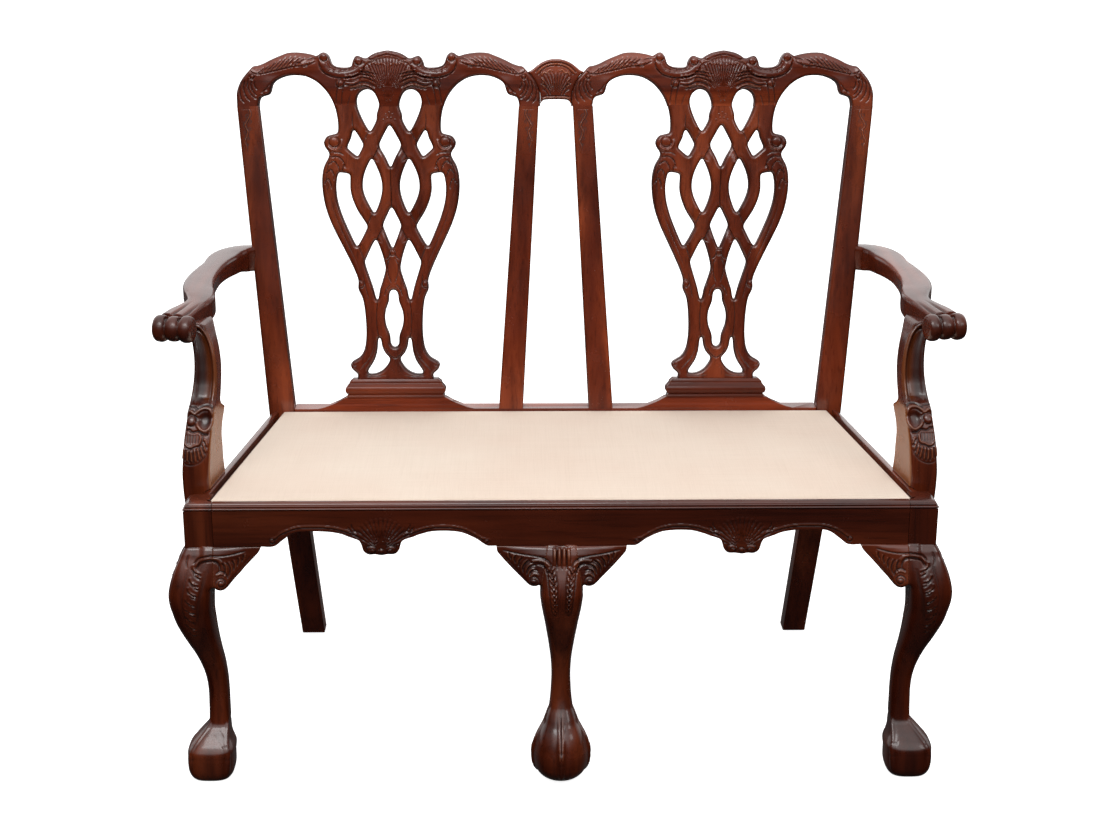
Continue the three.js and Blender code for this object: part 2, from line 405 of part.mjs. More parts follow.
// lathe axis (+Y) to the roll's axis, pointing inward and forward for the right arm mirrored
const rollAxis = V(Math.cos(splay), Math.sin(splay), 0);
lobeGeo.applyMatrix4(new THREE.Matrix4().makeRotationFromQuaternion(new THREE.Quaternion().setFromUnitVectors(V(0, 1, 0), rollAxis)));
lobeGeo.translate(572, 116, 675);
const roll = toSolid(outward(lobeGeo));
arm = arm.add(roll);
// clear the back post, then add the tenon that enters its outer side
const postGrown = toSolid(loft([500, 0].map((s) => {
  const a = postInner(s) - 60, b = postOuter(s) + GAP;
  return [back(a, s, 40), back(b, s, 40), back(b, s, -80), back(a, s, -80)];
})));
arm = arm.subtract(postGrown);
const armTenon = toSolid(boxGeo(490, 515, 490.5, 502, 684, 708));
arm = arm.add(armTenon);
const posts = postWithTenon.subtract(toSolid(boxGeo(489.7, 530, 490.2, 502.3, 683.7, 708.3)));

// ---------- arm supports ----------
// [z, front y, back y, width, lean outward]
const SUPPORT = [
  [380, 84, 122, 34, 0], [384, 73, 134, 38, 0], [394, 66, 143, 40, 0], [415, 61, 148, 41, 0], [445, 60, 148, 41.5, 0], [465, 60, 144, 41.5, 0], [488, 62, 138, 41, 0], [508, 68, 135, 40.5, 0],
  [524, 76, 140, 40, 0], [536, 84, 149, 39.5, 0], [543, 90, 152, 39, 0], [550, 93, 142, 39, 0], [558, 96, 138, 39, 0], [567, 108, 142, 39, 0], [585, 119, 150, 37.2, 0],
  [610, 126, 157, 35.6, 0.4], [635, 132, 165, 34.6, 3], [655, 138, 176, 34, 7], [668, 142, 190, 36, 10]];
function supRing([z, y0, y1, t, lean]) {
  const c = 4, xi = (y) => SIDE_X0 - SIDE_DX * y - 11.5 + lean;
  return [V(xi(y0 + c), y0 + c, z), V(xi(y0) + c, y0, z), V(xi(y0) + t - c, y0, z), V(xi(y0 + c) + t, y0 + c, z), V(xi(y1 - c) + t * 0.94, y1 - c, z), V(xi(y1) + t * 0.94 - c, y1, z), V(xi(y1) + c, y1, z), V(xi(y1 - c), y1 - c, z)];
}
let support = toSolid(loft(SUPPORT.map(supRing)));
const armGrown = toSolid(loft(ARM.map((r) => armRing(r, GAP))));
support = support.subtract(armGrown);
// lapped over the side rail: the lower part is cut back to the rail's outer face
const railGrown = prism([[-1.2, 300], [-1.2, RAIL_TOP + GAP], [80, RAIL_TOP + GAP], [80, 300]], 620, basisOf(
  V(-Math.cos(sideLean), -Math.sin(sideLean), 0), V(0, 0, 1), V(-Math.sin(sideLean), Math.cos(sideLean), 0),
  V(SIDE_X0 + SIDE_DX * 60, -60, 0)));
support = support.subtract(toSolid(railGrown));

// ---------- corner blocks and middle brace ----------
const frontBlock = planPrism([[505, 34.4], [446, 34.4], [446, 44], [488, 96], [498.2, 96], [505, 44]], LEDGE_Z - 34, LEDGE_Z - 0.5);
const rearBlock = planPrism([[451.3, 450.2], [386, 450.2], [386, 442], [450, 388], [459.6, 388]], LEDGE_Z - 34, LEDGE_Z - 0.5);
const brace = boxGeo(-16, 16, POST_SQ + GAP, BACK_Y, 380, LEDGE_Z - 0.4);

// ---------- drop-in seat ----------
const SEAT_IN = 1.4;           // clearance round the seat
const seatOuter = (inset) => {
  const y0 = 11.6 + SEAT_IN + inset, y1 = BACK_Y - 3.7 - inset; // clears the shoes as it lifts
  return { y0, y1, x0: seatX(y0) - SEAT_IN - inset, x1: seatX(y1) - SEAT_IN - inset };
};
const quad = ({ y0, y1, x0, x1 }) => [[-x0, y0], [x0, y0], [x1, y1], [-x1, y1]];
const coverWall = 1.2, railW = 55;
const FRAME_Z0 = LEDGE_Z + 1.6, FRAME_Z1 = 430;
const fr = seatOuter(coverWall + GAP);
const inX = (y) => seatX(y) - SEAT_IN - coverWall - GAP;
const seatFront = planPrism([[-fr.x0, fr.y0], [fr.x0, fr.y0], [inX(fr.y0 + railW), fr.y0 + railW], [-inX(fr.y0 + railW), fr.y0 + railW]], FRAME_Z0, FRAME_Z1);
const seatRear = planPrism([[-inX(fr.y1 - railW), fr.y1 - railW], [inX(fr.y1 - railW), fr.y1 - railW], [fr.x1, fr.y1], [-fr.x1, fr.y1]], FRAME_Z0, FRAME_Z1);
const ya = fr.y0 + railW + GAP, yb = fr.y1 - railW - GAP;
const seatSide = planPrism([[inX(ya) - railW, ya], [inX(ya), ya], [inX(yb), yb], [inX(yb) - railW, yb]], FRAME_Z0, FRAME_Z1);
const seatCross = boxGeo(-30, 30, ya, yb, FRAME_Z0, FRAME_Z1);
const webbing = planPrism(quad(fr), FRAME_Z1 + GAP, FRAME_Z1 + 2.3);
const padTop = SEAT_TOP - coverWall - GAP;
const pad = planPrism(quad(fr), FRAME_Z1 + 2.6, padTop);
// cover: cloth over the top and down the sides, turned under the frame's edge
let cover = toSolid(planPrism(quad(seatOuter(0)), FRAME_Z0 - GAP - coverWall, SEAT_TOP));
cover = cover.subtract(toSolid(planPrism(quad(seatOuter(coverWall)), FRAME_Z0 - GAP, SEAT_TOP - coverWall)));
cover = cover.subtract(toSolid(planPrism(quad(seatOuter(26)), 380, FRAME_Z0 + 1)));

// ---------- screws from inside the side rails into the arm supports ----------
const screwProfile = [[0, 0], [4.2, 0], [4.2, 1], [2, 3.4], [2, 36], [0, 39]];
function screwAt(y, z) {
  const g = new THREE.LatheGeometry(screwProfile.map(([r, t]) => new THREE.Vector2(r, t)), 10);
  g.applyMatrix4(new THREE.Matrix4().makeRotationZ(-Math.PI / 2)); // +Y axis to +X
  const k = outward(g);
  k.translate(SIDE_X0 - SIDE_DX * y - SIDE_T + 4, y, z);
  return k;
}
function screwHole(y, z) {
  const x = SIDE_X0 - SIDE_DX * y - SIDE_T + 4;
  const g = new THREE.LatheGeometry([[0, -8], [4.6, -8], [4.6, 1.3], [2.4, 3.7], [2.4, 39.6], [0, 39.8]].map(([r, t]) => new THREE.Vector2(r, t)), 10);
  g.applyMatrix4(new THREE.Matrix4().makeRotationZ(-Math.PI / 2));
  const k = outward(g);
  k.translate(x, y, z);
  return toSolid(k);
}
const SCREWS = [[86, 398], [124, 398]];
for (const [y, z] of SCREWS) {
  sideRail = sideRail.subtract(screwHole(y, z));
  support = support.subtract(screwHole(y, z));
}

// ---------- the assembly ----------
putPair('rear_post', posts, mahogany);
putPair('inner_stile', stile, mahogany);
putPair('crest_rail', crest, mahogany);
put('crest_link', toGeometry(link), mahogany());
putPair('splat', splat, mahogany);
putPair('splat_shoe', shoe(), mahogany);
put('rear_seat_rail', toGeometry(rearRail), mahogany());
put('front_seat_rail', toGeometry(frontRail), mahogany());
putPair('side_seat_rail', sideRail, mahogany);
putPair('front_leg', cornerLeg, mahoganyDark);
put('front_leg_centre', toGeometry(midLeg), mahoganyDark());
putPair('centre_knee_bracket', midBracket, mahoganyDark);
putPair('front_knee_bracket', frontBracket, mahoganyDark);
putPair('side_knee_bracket', sideBracket, mahoganyDark);
putPair('arm', arm, mahogany);
putPair('arm_support', support, mahogany);
putPair('front_corner_block', frontBlock, pineWood);
putPair('rear_corner_block', rearBlock, pineWood);
put('centre_brace', brace, pineWood());
put('seat_frame_front', seatFront, pineWood());
put('seat_frame_rear', seatRear, pineWood());
putPair('seat_frame_side', seatSide, pineWood);
put('seat_frame_cross', seatCross, pineWood());
put('seat_webbing', webbing, hessian());
put('seat_pad', pad, cloth());
put('seat_cover', toGeometry(cover), cloth());
SCREWS.forEach(([y, z], i) => putPair(`support_screw_${i + 1}`, screwAt(y, z), steel));

export default root;
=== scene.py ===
import math

import bpy
import numpy as np
from mathutils import Matrix, Vector
from mathutils.geometry import delaunay_2d_cdt


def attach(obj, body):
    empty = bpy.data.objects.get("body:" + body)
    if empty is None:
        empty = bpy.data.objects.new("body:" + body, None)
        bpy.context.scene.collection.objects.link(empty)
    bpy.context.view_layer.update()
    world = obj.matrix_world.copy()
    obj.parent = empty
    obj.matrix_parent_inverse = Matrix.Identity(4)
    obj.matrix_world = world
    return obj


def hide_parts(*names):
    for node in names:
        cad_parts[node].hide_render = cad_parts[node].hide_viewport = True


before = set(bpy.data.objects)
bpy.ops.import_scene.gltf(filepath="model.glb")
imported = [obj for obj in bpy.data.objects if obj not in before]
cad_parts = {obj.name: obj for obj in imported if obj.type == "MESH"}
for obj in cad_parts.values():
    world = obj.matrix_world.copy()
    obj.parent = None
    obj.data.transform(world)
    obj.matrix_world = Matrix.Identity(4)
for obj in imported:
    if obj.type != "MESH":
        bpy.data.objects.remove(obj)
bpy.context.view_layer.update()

# Lengths below are in layout millimetres: y = 0 on the upright face of the front
# seat rail, z = 0 six millimetres above the floor. row() turns them into metres in
# the shared frame.

BACK_Y, BACK_Z, RAKE = 450.5, 450.0, math.radians(8.84)
SIN, COS = math.sin(RAKE), math.cos(RAKE)
UNIT_X0, UNIT_DX = 270.5, 0.0115
SIDE_X0, SIDE_DX = 543.5, 0.132
RAIL_TOP, RAIL_BOTTOM, LEDGE_Z = 440.0, 372.0, 412.0
CREST_T, SPLAT_T, SPLAT_SET = 26.0, 14.0, 3.0
JOINT_S = 500.15


def row(P):
    return (np.asarray(P, float) + np.array((0.0, -265.3, 6.0))) * 0.001


def back(x, s, n):
    x, s, n = np.broadcast_arrays(x, s, n)
    return np.stack([x, BACK_Y + s * SIN - n * COS, BACK_Z + s * COS + n * SIN], -1)


# ------------------------------------------------------------------ curves
def _catmull(P, step, closed):
    P = np.asarray(P, float)
    n = len(P)
    if closed:
        Q = np.vstack([P[-1:], P, P[:2]])
        segs = n
    else:
        Q = np.vstack([2 * P[:1] - P[1:2], P, 2 * P[-1:] - P[-2:-1]])
        segs = n - 1
    out = []
    for i in range(segs):
        p0, p1, p2, p3 = Q[i], Q[i + 1], Q[i + 2], Q[i + 3]
        L = max(np.linalg.norm(p2 - p1), 1e-6)
        m = max(1, int(math.ceil(L / step)))
        t1 = max(np.linalg.norm(p1 - p0), 1e-6) ** 0.5
        t2 = t1 + L ** 0.5
        t3 = t2 + max(np.linalg.norm(p3 - p2), 1e-6) ** 0.5
        t = np.linspace(t1, t2, m, endpoint=False)[:, None]
        A1 = (t1 - t) / t1 * p0 + t / t1 * p1
        A2 = (t2 - t) / (t2 - t1) * p1 + (t - t1) / (t2 - t1) * p2
        A3 = (t3 - t) / (t3 - t2) * p2 + (t - t2) / (t3 - t2) * p3
        B1 = (t2 - t) / t2 * A1 + t / t2 * A2
        B2 = (t3 - t) / (t3 - t1) * A2 + (t - t1) / (t3 - t1) * A3
        out.append((t2 - t) / (t2 - t1) * B1 + (t - t1) / (t2 - t1) * B2)
    if not closed:
        out.append(P[-1:])
    return np.vstack(out)


def curve(points, step=1.5, closed=False):
    """a smooth line through the points; a point given twice in a row is a sharp corner"""
    P = [tuple(map(float, p)) for p in points]
    n = len(P)
    if closed:
        corners = [i for i in range(n) if P[i] == P[(i + 1) % n]]
        if not corners:
            return _catmull(P, step, True)
        k = corners[0] + 1
        P = P[k:] + P[:k]
        corners = [i for i in range(n) if P[i] == P[(i + 1) % n]]
        runs, a = [], 0
        for c in corners:
            runs.append(P[a:c + 1])
            a = c + 1
        if a < n:
            runs.append(P[a:] + P[:1])
        out = []
        for i, r in enumerate(runs):
            nxt = runs[(i + 1) % len(runs)][0]
            if r[-1] != nxt:
                r = r + [nxt]
            out.append(_catmull(r, step, False)[:-1])
        return np.vstack(out)
    corners = [i for i in range(n - 1) if P[i] == P[i + 1]]
    out, a = [], 0
    for c in corners:
        if c > a:
            out.append(_catmull(P[a:c + 1], step, False)[:-1])
        a = c + 1
    out.append(_catmull(P[a:], step, False) if n - a > 1 else np.array(P[a:]))
    return np.vstack(out)


def flip_u(points):
    return [(-p[0],) + tuple(p[1:]) for p in points][::-1]


def table(rows, step=0.5):
    """a smooth function from rows (key, a, b, ...) to its columns"""
    R = np.array(sorted(rows), float)
    k = R[:, 0]
    grid = np.arange(k[0], k[-1] + step, step)
    cols = []
    for c in range(1, R.shape[1]):
        y = R[:, c]
        m = np.gradient(y, k)
        i = np.clip(np.searchsorted(k, grid, side="right") - 1, 0, len(k) - 2)
        h = k[i + 1] - k[i]
        t = np.clip((grid - k[i]) / h, 0, 1)
        cols.append((2 * t**3 - 3 * t**2 + 1) * y[i] + (t**3 - 2 * t**2 + t) * h * m[i]
                    + (-2 * t**3 + 3 * t**2) * y[i + 1] + (t**3 - t**2) * h * m[i + 1])
    return lambda q: [np.interp(q, grid, c) for c in cols]


def smooth(t):
    t = np.clip(t, 0, 1)
    return t * t * (3 - 2 * t)


# ------------------------------------------------------------------ flat reliefs
def signed_distance(us, ss, loops, reach):
    """distance to the loops, positive inside, exact up to reach"""
    D = np.full((len(ss), len(us)), float(reach))
    par = np.zeros((len(ss), len(us) + 1), np.int32)
    for L in loops:
        A, B = L, np.roll(L, -1, 0)
        for (ax, ay), (bx, by) in zip(A.tolist(), B.tolist()):
            dx, dy = bx - ax, by - ay
            l2 = dx * dx + dy * dy
            if l2 < 1e-12:
                continue
            i0, i1 = np.searchsorted(us, (min(ax, bx) - reach, max(ax, bx) + reach))
            j0, j1 = np.searchsorted(ss, (min(ay, by) - reach, max(ay, by) + reach))
            if i0 < i1 and j0 < j1:
                U = us[i0:i1][None, :] - ax
                S = ss[j0:j1][:, None] - ay
                t = np.clip((U * dx + S * dy) / l2, 0, 1)
                d = np.sqrt((U - t * dx) ** 2 + (S - t * dy) ** 2)
                np.minimum(D[j0:j1, i0:i1], d, out=D[j0:j1, i0:i1])
            a, b = min(ay, by), max(ay, by)
            k0, k1 = np.searchsorted(ss, (a, b))
            if k0 < k1:
                x = ax + (ss[k0:k1] - ay) / dy * dx
                np.add.at(par, (np.arange(k0, k1), np.searchsorted(us, x)), 1)
    inside = np.cumsum(par, 1)[:, :len(us)] % 2 == 1
    return np.where(inside, D, -D)


def cut_mesh(P, T, col, level, eps=0.04):
    v = P[:, col] - level
    v[np.abs(v) < eps] = 0.0
    s = np.sign(v).astype(np.int8)[T]
    mixed = (s.min(1) < 0) & (s.max(1) > 0)
    if mixed.any():
        keep, M, sm = T[~mixed], T[mixed], s[mixed]
        zero = (sm == 0).any(1)
        A, sa = M[~zero], sm[~zero]
        lone = np.where(sa.sum(1) > 0, -1, 1)
        i = np.argmax(sa == lone[:, None], 1)
        r = np.arange(len(A))
        L, a, b = A[r, i], A[r, (i + 1) % 3], A[r, (i + 2) % 3]
        B, sb = M[zero], sm[zero]
        i = np.argmax(sb == 0, 1)
        r = np.arange(len(B))
        Z, c, d = B[r, i], B[r, (i + 1) % 3], B[r, (i + 2) % 3]
        e0, e1 = np.concatenate([L, L, c]), np.concatenate([a, b, d])
        N = len(P)
        key = np.minimum(e0, e1).astype(np.int64) * N + np.maximum(e0, e1)
        uk, inv = np.unique(key, return_inverse=True)
        i0, i1 = uk // N, uk % N
        t = (v[i0] / (v[i0] - v[i1]))[:, None]
        Q = P[i0] + (P[i1] - P[i0]) * t
        Q[:, col] = level
        ids = N + inv.ravel()
        nA = len(A)
        p, q, e = ids[:nA], ids[nA:2 * nA], ids[2 * nA:]
        P = np.vstack([P, Q])
        T = np.vstack([keep, np.stack([L, p, q], 1), np.stack([p, a, b], 1), np.stack([p, b, q], 1),
                       np.stack([Z, c, e], 1), np.stack([Z, e, d], 1)])
    return P, T


def keep_side(P, T, col, level, above=True, eps=0.04):
    P, T = cut_mesh(P, T, col, level, eps)
    v = (P[:, col] - level) * (1 if above else -1)
    T = T[v[T].max(1) > eps]
    used, inv = np.unique(T, return_inverse=True)
    return P[used], inv.reshape(-1, 3)


def lines(lo, hi, h):
    return np.linspace(lo, hi, int(math.ceil((hi - lo) / h)) + 1)


def plate(loops, us, ss, levels, reach=14.0, clips=()):
    """triangles over the inside of the loops; columns u, s, distance to the edge"""
    D = signed_distance(us, ss, loops, reach)
    U, S = np.meshgrid(us, ss)
    P = np.stack([U.ravel(), S.ravel(), D.ravel()], 1)
    nu, ns = len(us), len(ss)
    i = (np.arange(ns - 1)[:, None] * nu + np.arange(nu - 1)[None, :]).ravel()
    odd = ((i % nu) + (i // nu)) % 2 == 1
    a, b, c, d = i, i + 1, i + nu + 1, i + nu
    T = np.vstack([np.stack([a, b, c], 1)[~odd], np.stack([a, c, d], 1)[~odd],
                   np.stack([a, b, d], 1)[odd], np.stack([b, c, d], 1)[odd]])
    near = P[:, 2][T].max(1) > -2.0
    T = T[near]
    P, T = keep_side(P, T, 2, 0.0)
    for col, level, above in clips:
        P, T = keep_side(P, T, col, level, above)
    for lv in levels:
        P, T = cut_mesh(P, T, 2, lv, 0.02)
    P[:, 2] = np.maximum(P[:, 2], 0)
    return P, T


def inside_loops(pts, loops):
    par = np.zeros(len(pts), int)
    for L in loops:
        A, B = L, np.roll(L, -1, 0)
        for k in range(0, len(pts), 4000):
            x, y = pts[k:k + 4000, 0][:, None], pts[k:k + 4000, 1][:, None]
            c = (A[:, 1] > y) != (B[:, 1] > y)
            dy = np.where(np.abs(B[:, 1] - A[:, 1]) < 1e-12, 1, B[:, 1] - A[:, 1])
            xx = A[:, 0] + (y - A[:, 1]) / dy * (B[:, 0] - A[:, 0])
            par[k:k + 4000] += (c & (x < xx)).sum(1)
    return par % 2 == 1


def relief_solid(P, T, front, back_n):
    """closes a plate into a solid: returns (u, s, n) points and triangles; the front has normals towards +n"""
    N = len(P)
    E = np.vstack([T[:, [0, 1]], T[:, [1, 2]], T[:, [2, 0]]]).astype(np.int64)
    key, rev = E[:, 0] * N + E[:, 1], E[:, 1] * N + E[:, 0]
    BE = E[~np.isin(key, rev)]
    bv, inv = np.unique(BE, return_inverse=True)
    be = inv.reshape(-1, 2)
    bp = P[bv]
    bn = np.full(len(bv), float(back_n)) if np.isscalar(back_n) else back_n(bp[:, 0], bp[:, 1])
    pts = [np.column_stack([P[:, :2], front]), np.column_stack([bp[:, :2], bn])]
    walls = np.stack([bv[be[:, 1]], bv[be[:, 0]], N + be[:, 0], N + be[:, 1]], 1)
    out = delaunay_2d_cdt([Vector(p) for p in bp[:, :2].tolist()], [tuple(e) for e in be.tolist()], [], 0, 1e-7)
    vo, faces, orig = out[0], out[2], out[3]
    vo = np.array([tuple(v) for v in vo])
    idx = np.array([o[0] if len(o) else -1 for o in orig])
    extra = np.where(idx < 0)[0]
    if len(extra):
        idx[extra] = len(bv) + np.arange(len(extra))
        pts.append(np.column_stack([vo[extra], np.full(len(extra), float(back_n) if np.isscalar(back_n) else 0.0)]))
    F = np.array([f for f in faces if len(f) == 3])
    cen = vo[F].mean(1)
    # the boundary walked as segments: a centroid is inside by counting crossings
    A, B = bp[be[:, 0], :2], bp[be[:, 1], :2]
    par = np.zeros(len(cen), int)
    for k in range(0, len(cen), 2000):
        x, y = cen[k:k + 2000, 0][:, None], cen[k:k + 2000, 1][:, None]
        c = (A[:, 1] > y) != (B[:, 1] > y)
        dy = np.where(np.abs(B[:, 1] - A[:, 1]) < 1e-12, 1, B[:, 1] - A[:, 1])
        xx = A[:, 0] + (y - A[:, 1]) / dy * (B[:, 0] - A[:, 0])
        par[k:k + 2000] = (c & (x < xx)).sum(1)
    F = F[par % 2 == 1]
    v = vo[F]
    area = (v[:, 1, 0] - v[:, 0, 0]) * (v[:, 2, 1] - v[:, 0, 1]) - (v[:, 1, 1] - v[:, 0, 1]) * (v[:, 2, 0] - v[:, 0, 0])
    F = np.where((area > 0)[:, None], F[:, ::-1], F)
    G = N + idx[F]
    return np.vstack(pts), [T, walls, G]


def round_edge(d, R):
    return np.where(d < R, -R + np.sqrt(np.maximum(R * R - (R - np.minimum(d, R)) ** 2, 0)), 0.0)


# ------------------------------------------------------------------ carving
class Carve:
    """heights cut into or raised on a surface given by two coordinates"""

    def __init__(self, u, s):
        self.u, self.s = u, s
        self.h = np.zeros(len(u))
        # cav holds painted shading: painted shade where it is positive, painted highlight where it is negative
        self.cav = np.zeros(len(u))

    def near(self, pts, reach, step=1.2, closed=False):
        C = curve(pts, step, closed)
        if closed:
            C = np.vstack([C, C[:1]])
        lo, hi = C.min(0) - reach, C.max(0) + reach
        m = np.where((self.u > lo[0]) & (self.u < hi[0]) & (self.s > lo[1]) & (self.s < hi[1]))[0]
        if not len(m):
            return m, None, None, None, 0
        x, y = self.u[m], self.s[m]
        best = np.full(len(m), 1e9)
        side = np.zeros(len(m))
        arc = np.zeros(len(m))
        lens = np.linalg.norm(np.diff(C, axis=0), axis=1)
        acc = np.concatenate([[0], np.cumsum(lens)])
        for k in range(len(C) - 1):
            ax, ay = C[k]
            dx, dy = C[k + 1] - C[k]
            l2 = dx * dx + dy * dy
            if l2 < 1e-12:
                continue
            t = np.clip(((x - ax) * dx + (y - ay) * dy) / l2, 0, 1)
            ex, ey = x - ax - t * dx, y - ay - t * dy
            d2 = ex * ex + ey * ey
            q = d2 < best
            best[q] = d2[q]
            side[q] = np.sign(dx * ey - dy * ex)[q]
            arc[q] = (acc[k] + t * lens[k])[q]
        d = np.sqrt(best)
        ok = d < reach
        return m[ok], d[ok], side[ok], arc[ok], acc[-1]

    def _taper(self, arc, total, taper):
        a, b = (taper, taper) if np.isscalar(taper) else taper
        k = np.ones(len(arc))
        if a > 0:
            k = np.minimum(k, np.clip(arc / (a * total), 0.0, 1))
        if b > 0:
            k = np.minimum(k, np.clip((total - arc) / (b * total), 0.0, 1))
        return np.sqrt(k)

    def groove(self, pts, w=1.6, depth=1.2, taper=0.2, cav=1.0, closed=False):
        m, d, _, arc, tot = self.near(pts, w, closed=closed)
        if not len(m):
            return
        k = 1.0 if closed else self._taper(arc, tot, taper)
        prof = (1 - (d / w) ** 2) ** 1.5 * k
        self.h[m] -= depth * prof
        # painted shade in the groove
        self.cav[m] = np.maximum(self.cav[m], cav * prof)

    def ridge(self, pts, w=2.5, height=1.5, taper=0.2, wear=0.35, closed=False):
        m, d, _, arc, tot = self.near(pts, w, closed=closed)
        if not len(m):
            return
        k = 1.0 if closed else self._taper(arc, tot, taper)
        prof = np.sqrt(np.maximum(1 - (d / w) ** 2, 0)) * k
        self.h[m] += height * prof
        # painted highlight along the top of the ridge
        self.cav[m] = np.minimum(self.cav[m], self.cav[m] * (1 - prof)) - wear * np.maximum(prof - 0.75, 0) * 4 * 0.25

    def step(self, pts, width=13, depth=3.0, side=1, taper=0.0, ends=0.06, edge=0.9, cav=0.9):
        m, d, sd, arc, tot = self.near(pts, width)
        if not len(m):
            return
        q = sd == side
        m, d, arc = m[q], d[q], arc[q]
        # nothing past the two ends of the line
        k = self._taper(arc, tot, ends)
        k = np.where((arc <= 1e-6) | (arc >= tot - 1e-6), 0, k)
        prof = np.where(d < edge, smooth(d / edge), 1 - smooth((d - edge) / (width - edge)) ** (1 + taper)) * k
        self.h[m] -= depth * prof
        # painted shade along the step, where one strap passes under another
        self.cav[m] = np.maximum(self.cav[m], cav * np.exp(-((d - edge) / 2.0) ** 2) * k)

    def dome(self, c, r, height, rim=0.9, cav=0.8):
        d = np.hypot(self.u - c[0], self.s - c[1])
        m = d < r + 1.6
        q = d < r
        self.h[q] += height * np.sqrt(np.maximum(1 - (d[q] / r) ** 2, 0))
        g = np.exp(-((d[m] - r) / 0.9) ** 2)
        self.h[m] -= rim * g
        # painted shade round the dome's rim
        self.cav[m] = np.maximum(self.cav[m], cav * g)

    def fan(self, c, r0, r1, a0, a1, n, depth=1.6, squash=1.0, edge=3.0, cav=0.9, twist=0.0, height=0.8):
        """n ribs from a centre, between angles a0 and a1 in degrees"""
        du, ds = (self.u - c[0]) / squash, self.s - c[1]
        r = np.hypot(du, ds)
        an = np.degrees(np.arctan2(ds, du)) + twist * r
        m = (r > r0) & (r < r1) & (an > a0) & (an < a1)
        ph = (an[m] - a0) / (a1 - a0) * n
        prof = np.abs(np.sin(np.pi * ph)) ** 0.55
        env = np.minimum(1, np.minimum((r[m] - r0) / edge, (r1 - r[m]) / edge))
        self.h[m] += (height * prof - depth * (1 - prof)) * env
        # painted shade in the furrows between the ribs
        self.cav[m] = np.maximum(self.cav[m], cav * (1 - prof) ** 1.5 * env)

    def beads(self, pts, r=2.4, gap=5.5, height=1.4):
        C = curve(pts, 0.5)
        L = np.concatenate([[0], np.cumsum(np.linalg.norm(np.diff(C, axis=0), axis=1))])
        n = max(1, int(round(L[-1] / gap)))
        for t in np.linspace(0, L[-1], n + 1):
            self.dome((np.interp(t, L, C[:, 0]), np.interp(t, L, C[:, 1])), r, height, rim=0.5, cav=0.6)

    def hatch(self, pts, half, gap, slant=0.0, depth=1.2, height=0.6, taper=0.1, cav=0.9, side=0):
        """a band along a line, cut across by slanting furrows: leaves, feathers, gadroons"""
        m, d, sd, arc, tot = self.near(pts, half)
        if not len(m):
            return
        if side:
            q = sd == side
            m, d, sd, arc = m[q], d[q], sd[q], arc[q]
        k = self._taper(arc, tot, taper) * np.clip((half - d) / (0.25 * half), 0, 1)
        ph = (arc + slant * d) / gap
        prof = np.abs(np.sin(np.pi * ph)) ** 0.6
        self.h[m] += (height * prof - depth * (1 - prof)) * k
        # painted shade in the furrows
        self.cav[m] = np.maximum(self.cav[m], cav * (1 - prof) ** 1.5 * k)


# ------------------------------------------------------------------ solid fields
def smin(a, b, k):
    h = np.clip(0.5 + 0.5 * (b - a) / k, 0, 1)
    return b + (a - b) * h - k * h * (1 - h)


def smax(a, b, k):
    return -smin(-a, -b, k)


def surface_net(f, lo, hi, h, newton=2):
    """quads over the zero surface of f, found on a grid and then moved onto it"""
    ax = [np.arange(lo[i], hi[i] + h, h) for i in range(3)]
    n = [len(a) for a in ax]
    X, Y, Z = np.meshgrid(*ax, indexing="ij")
    V = f(X.ravel(), Y.ravel(), Z.ravel()).reshape(n)
    inside = V < 0
    cells = (n[0] - 1, n[1] - 1, n[2] - 1)
    size = cells[0] * cells[1] * cells[2]
    acc, cnt, quads = np.zeros((3, size)), np.zeros(size), []
    stride = np.array([cells[1] * cells[2], cells[2], 1])
    for a in range(3):
        sl0 = [slice(None)] * 3
        sl1 = [slice(None)] * 3
        sl0[a], sl1[a] = slice(0, -1), slice(1, None)
        A, B = inside[tuple(sl0)], inside[tuple(sl1)]
        idx = np.argwhere(A != B)
        v0 = V[tuple(sl0)][tuple(idx.T)]
        v1 = V[tuple(sl1)][tuple(idx.T)]
        pos = np.stack([ax[i][idx[:, i]] for i in range(3)], 1)
        pos[:, a] += h * v0 / (v0 - v1)
        b, c = (a + 1) % 3, (a + 2) % 3
        ring = []
        for db, dc in ((-1, -1), (0, -1), (0, 0), (-1, 0)):
            cell = idx.copy()
            cell[:, b] += db
            cell[:, c] += dc
            ok = (cell >= 0).all(1) & (cell < np.array(cells)).all(1)
            flat = cell @ stride
            for i in range(3):
                acc[i] += np.bincount(flat[ok], pos[ok, i], size)
            cnt += np.bincount(flat[ok], minlength=size)
            ring.append(np.where(ok, flat, -1))
        ring = np.stack(ring, 1)
        good = (ring >= 0).all(1)
        ring, low_in = ring[good], A[tuple(idx[good].T)]
        quads.append(np.where(low_in[:, None], ring, ring[:, ::-1]))
    Q = np.vstack(quads)
    used, inv = np.unique(Q, return_inverse=True)
    P = (acc[:, used] / cnt[used]).T
    Q = inv.reshape(-1, 4)
    e = 0.15
    for _ in range(newton):
        x, y, z = P.T
        v = f(x, y, z)
        g = np.stack([f(x + e, y, z) - f(x - e, y, z), f(x, y + e, z) - f(x, y - e, z), f(x, y, z + e) - f(x, y, z - e)], 1) / (2 * e)
        step = v / np.maximum((g * g).sum(1), 0.05)
        step = np.clip(step, -1.2 * h, 1.2 * h)
        P = P - g * step[:, None]
    return P, Q


def normals_of(P, groups):
    N = np.zeros_like(P)
    for G in groups:
        if G.shape[1] == 4:
            n = np.cross(P[G[:, 2]] - P[G[:, 0]], P[G[:, 3]] - P[G[:, 1]])
        else:
            n = np.cross(P[G[:, 1]] - P[G[:, 0]], P[G[:, 2]] - P[G[:, 0]])
        for k in range(G.shape[1]):
            for i in range(3):
                N[:, i] += np.bincount(G[:, k], n[:, i], len(P))
    return N / np.maximum(np.linalg.norm(N, axis=1), 1e-12)[:, None]


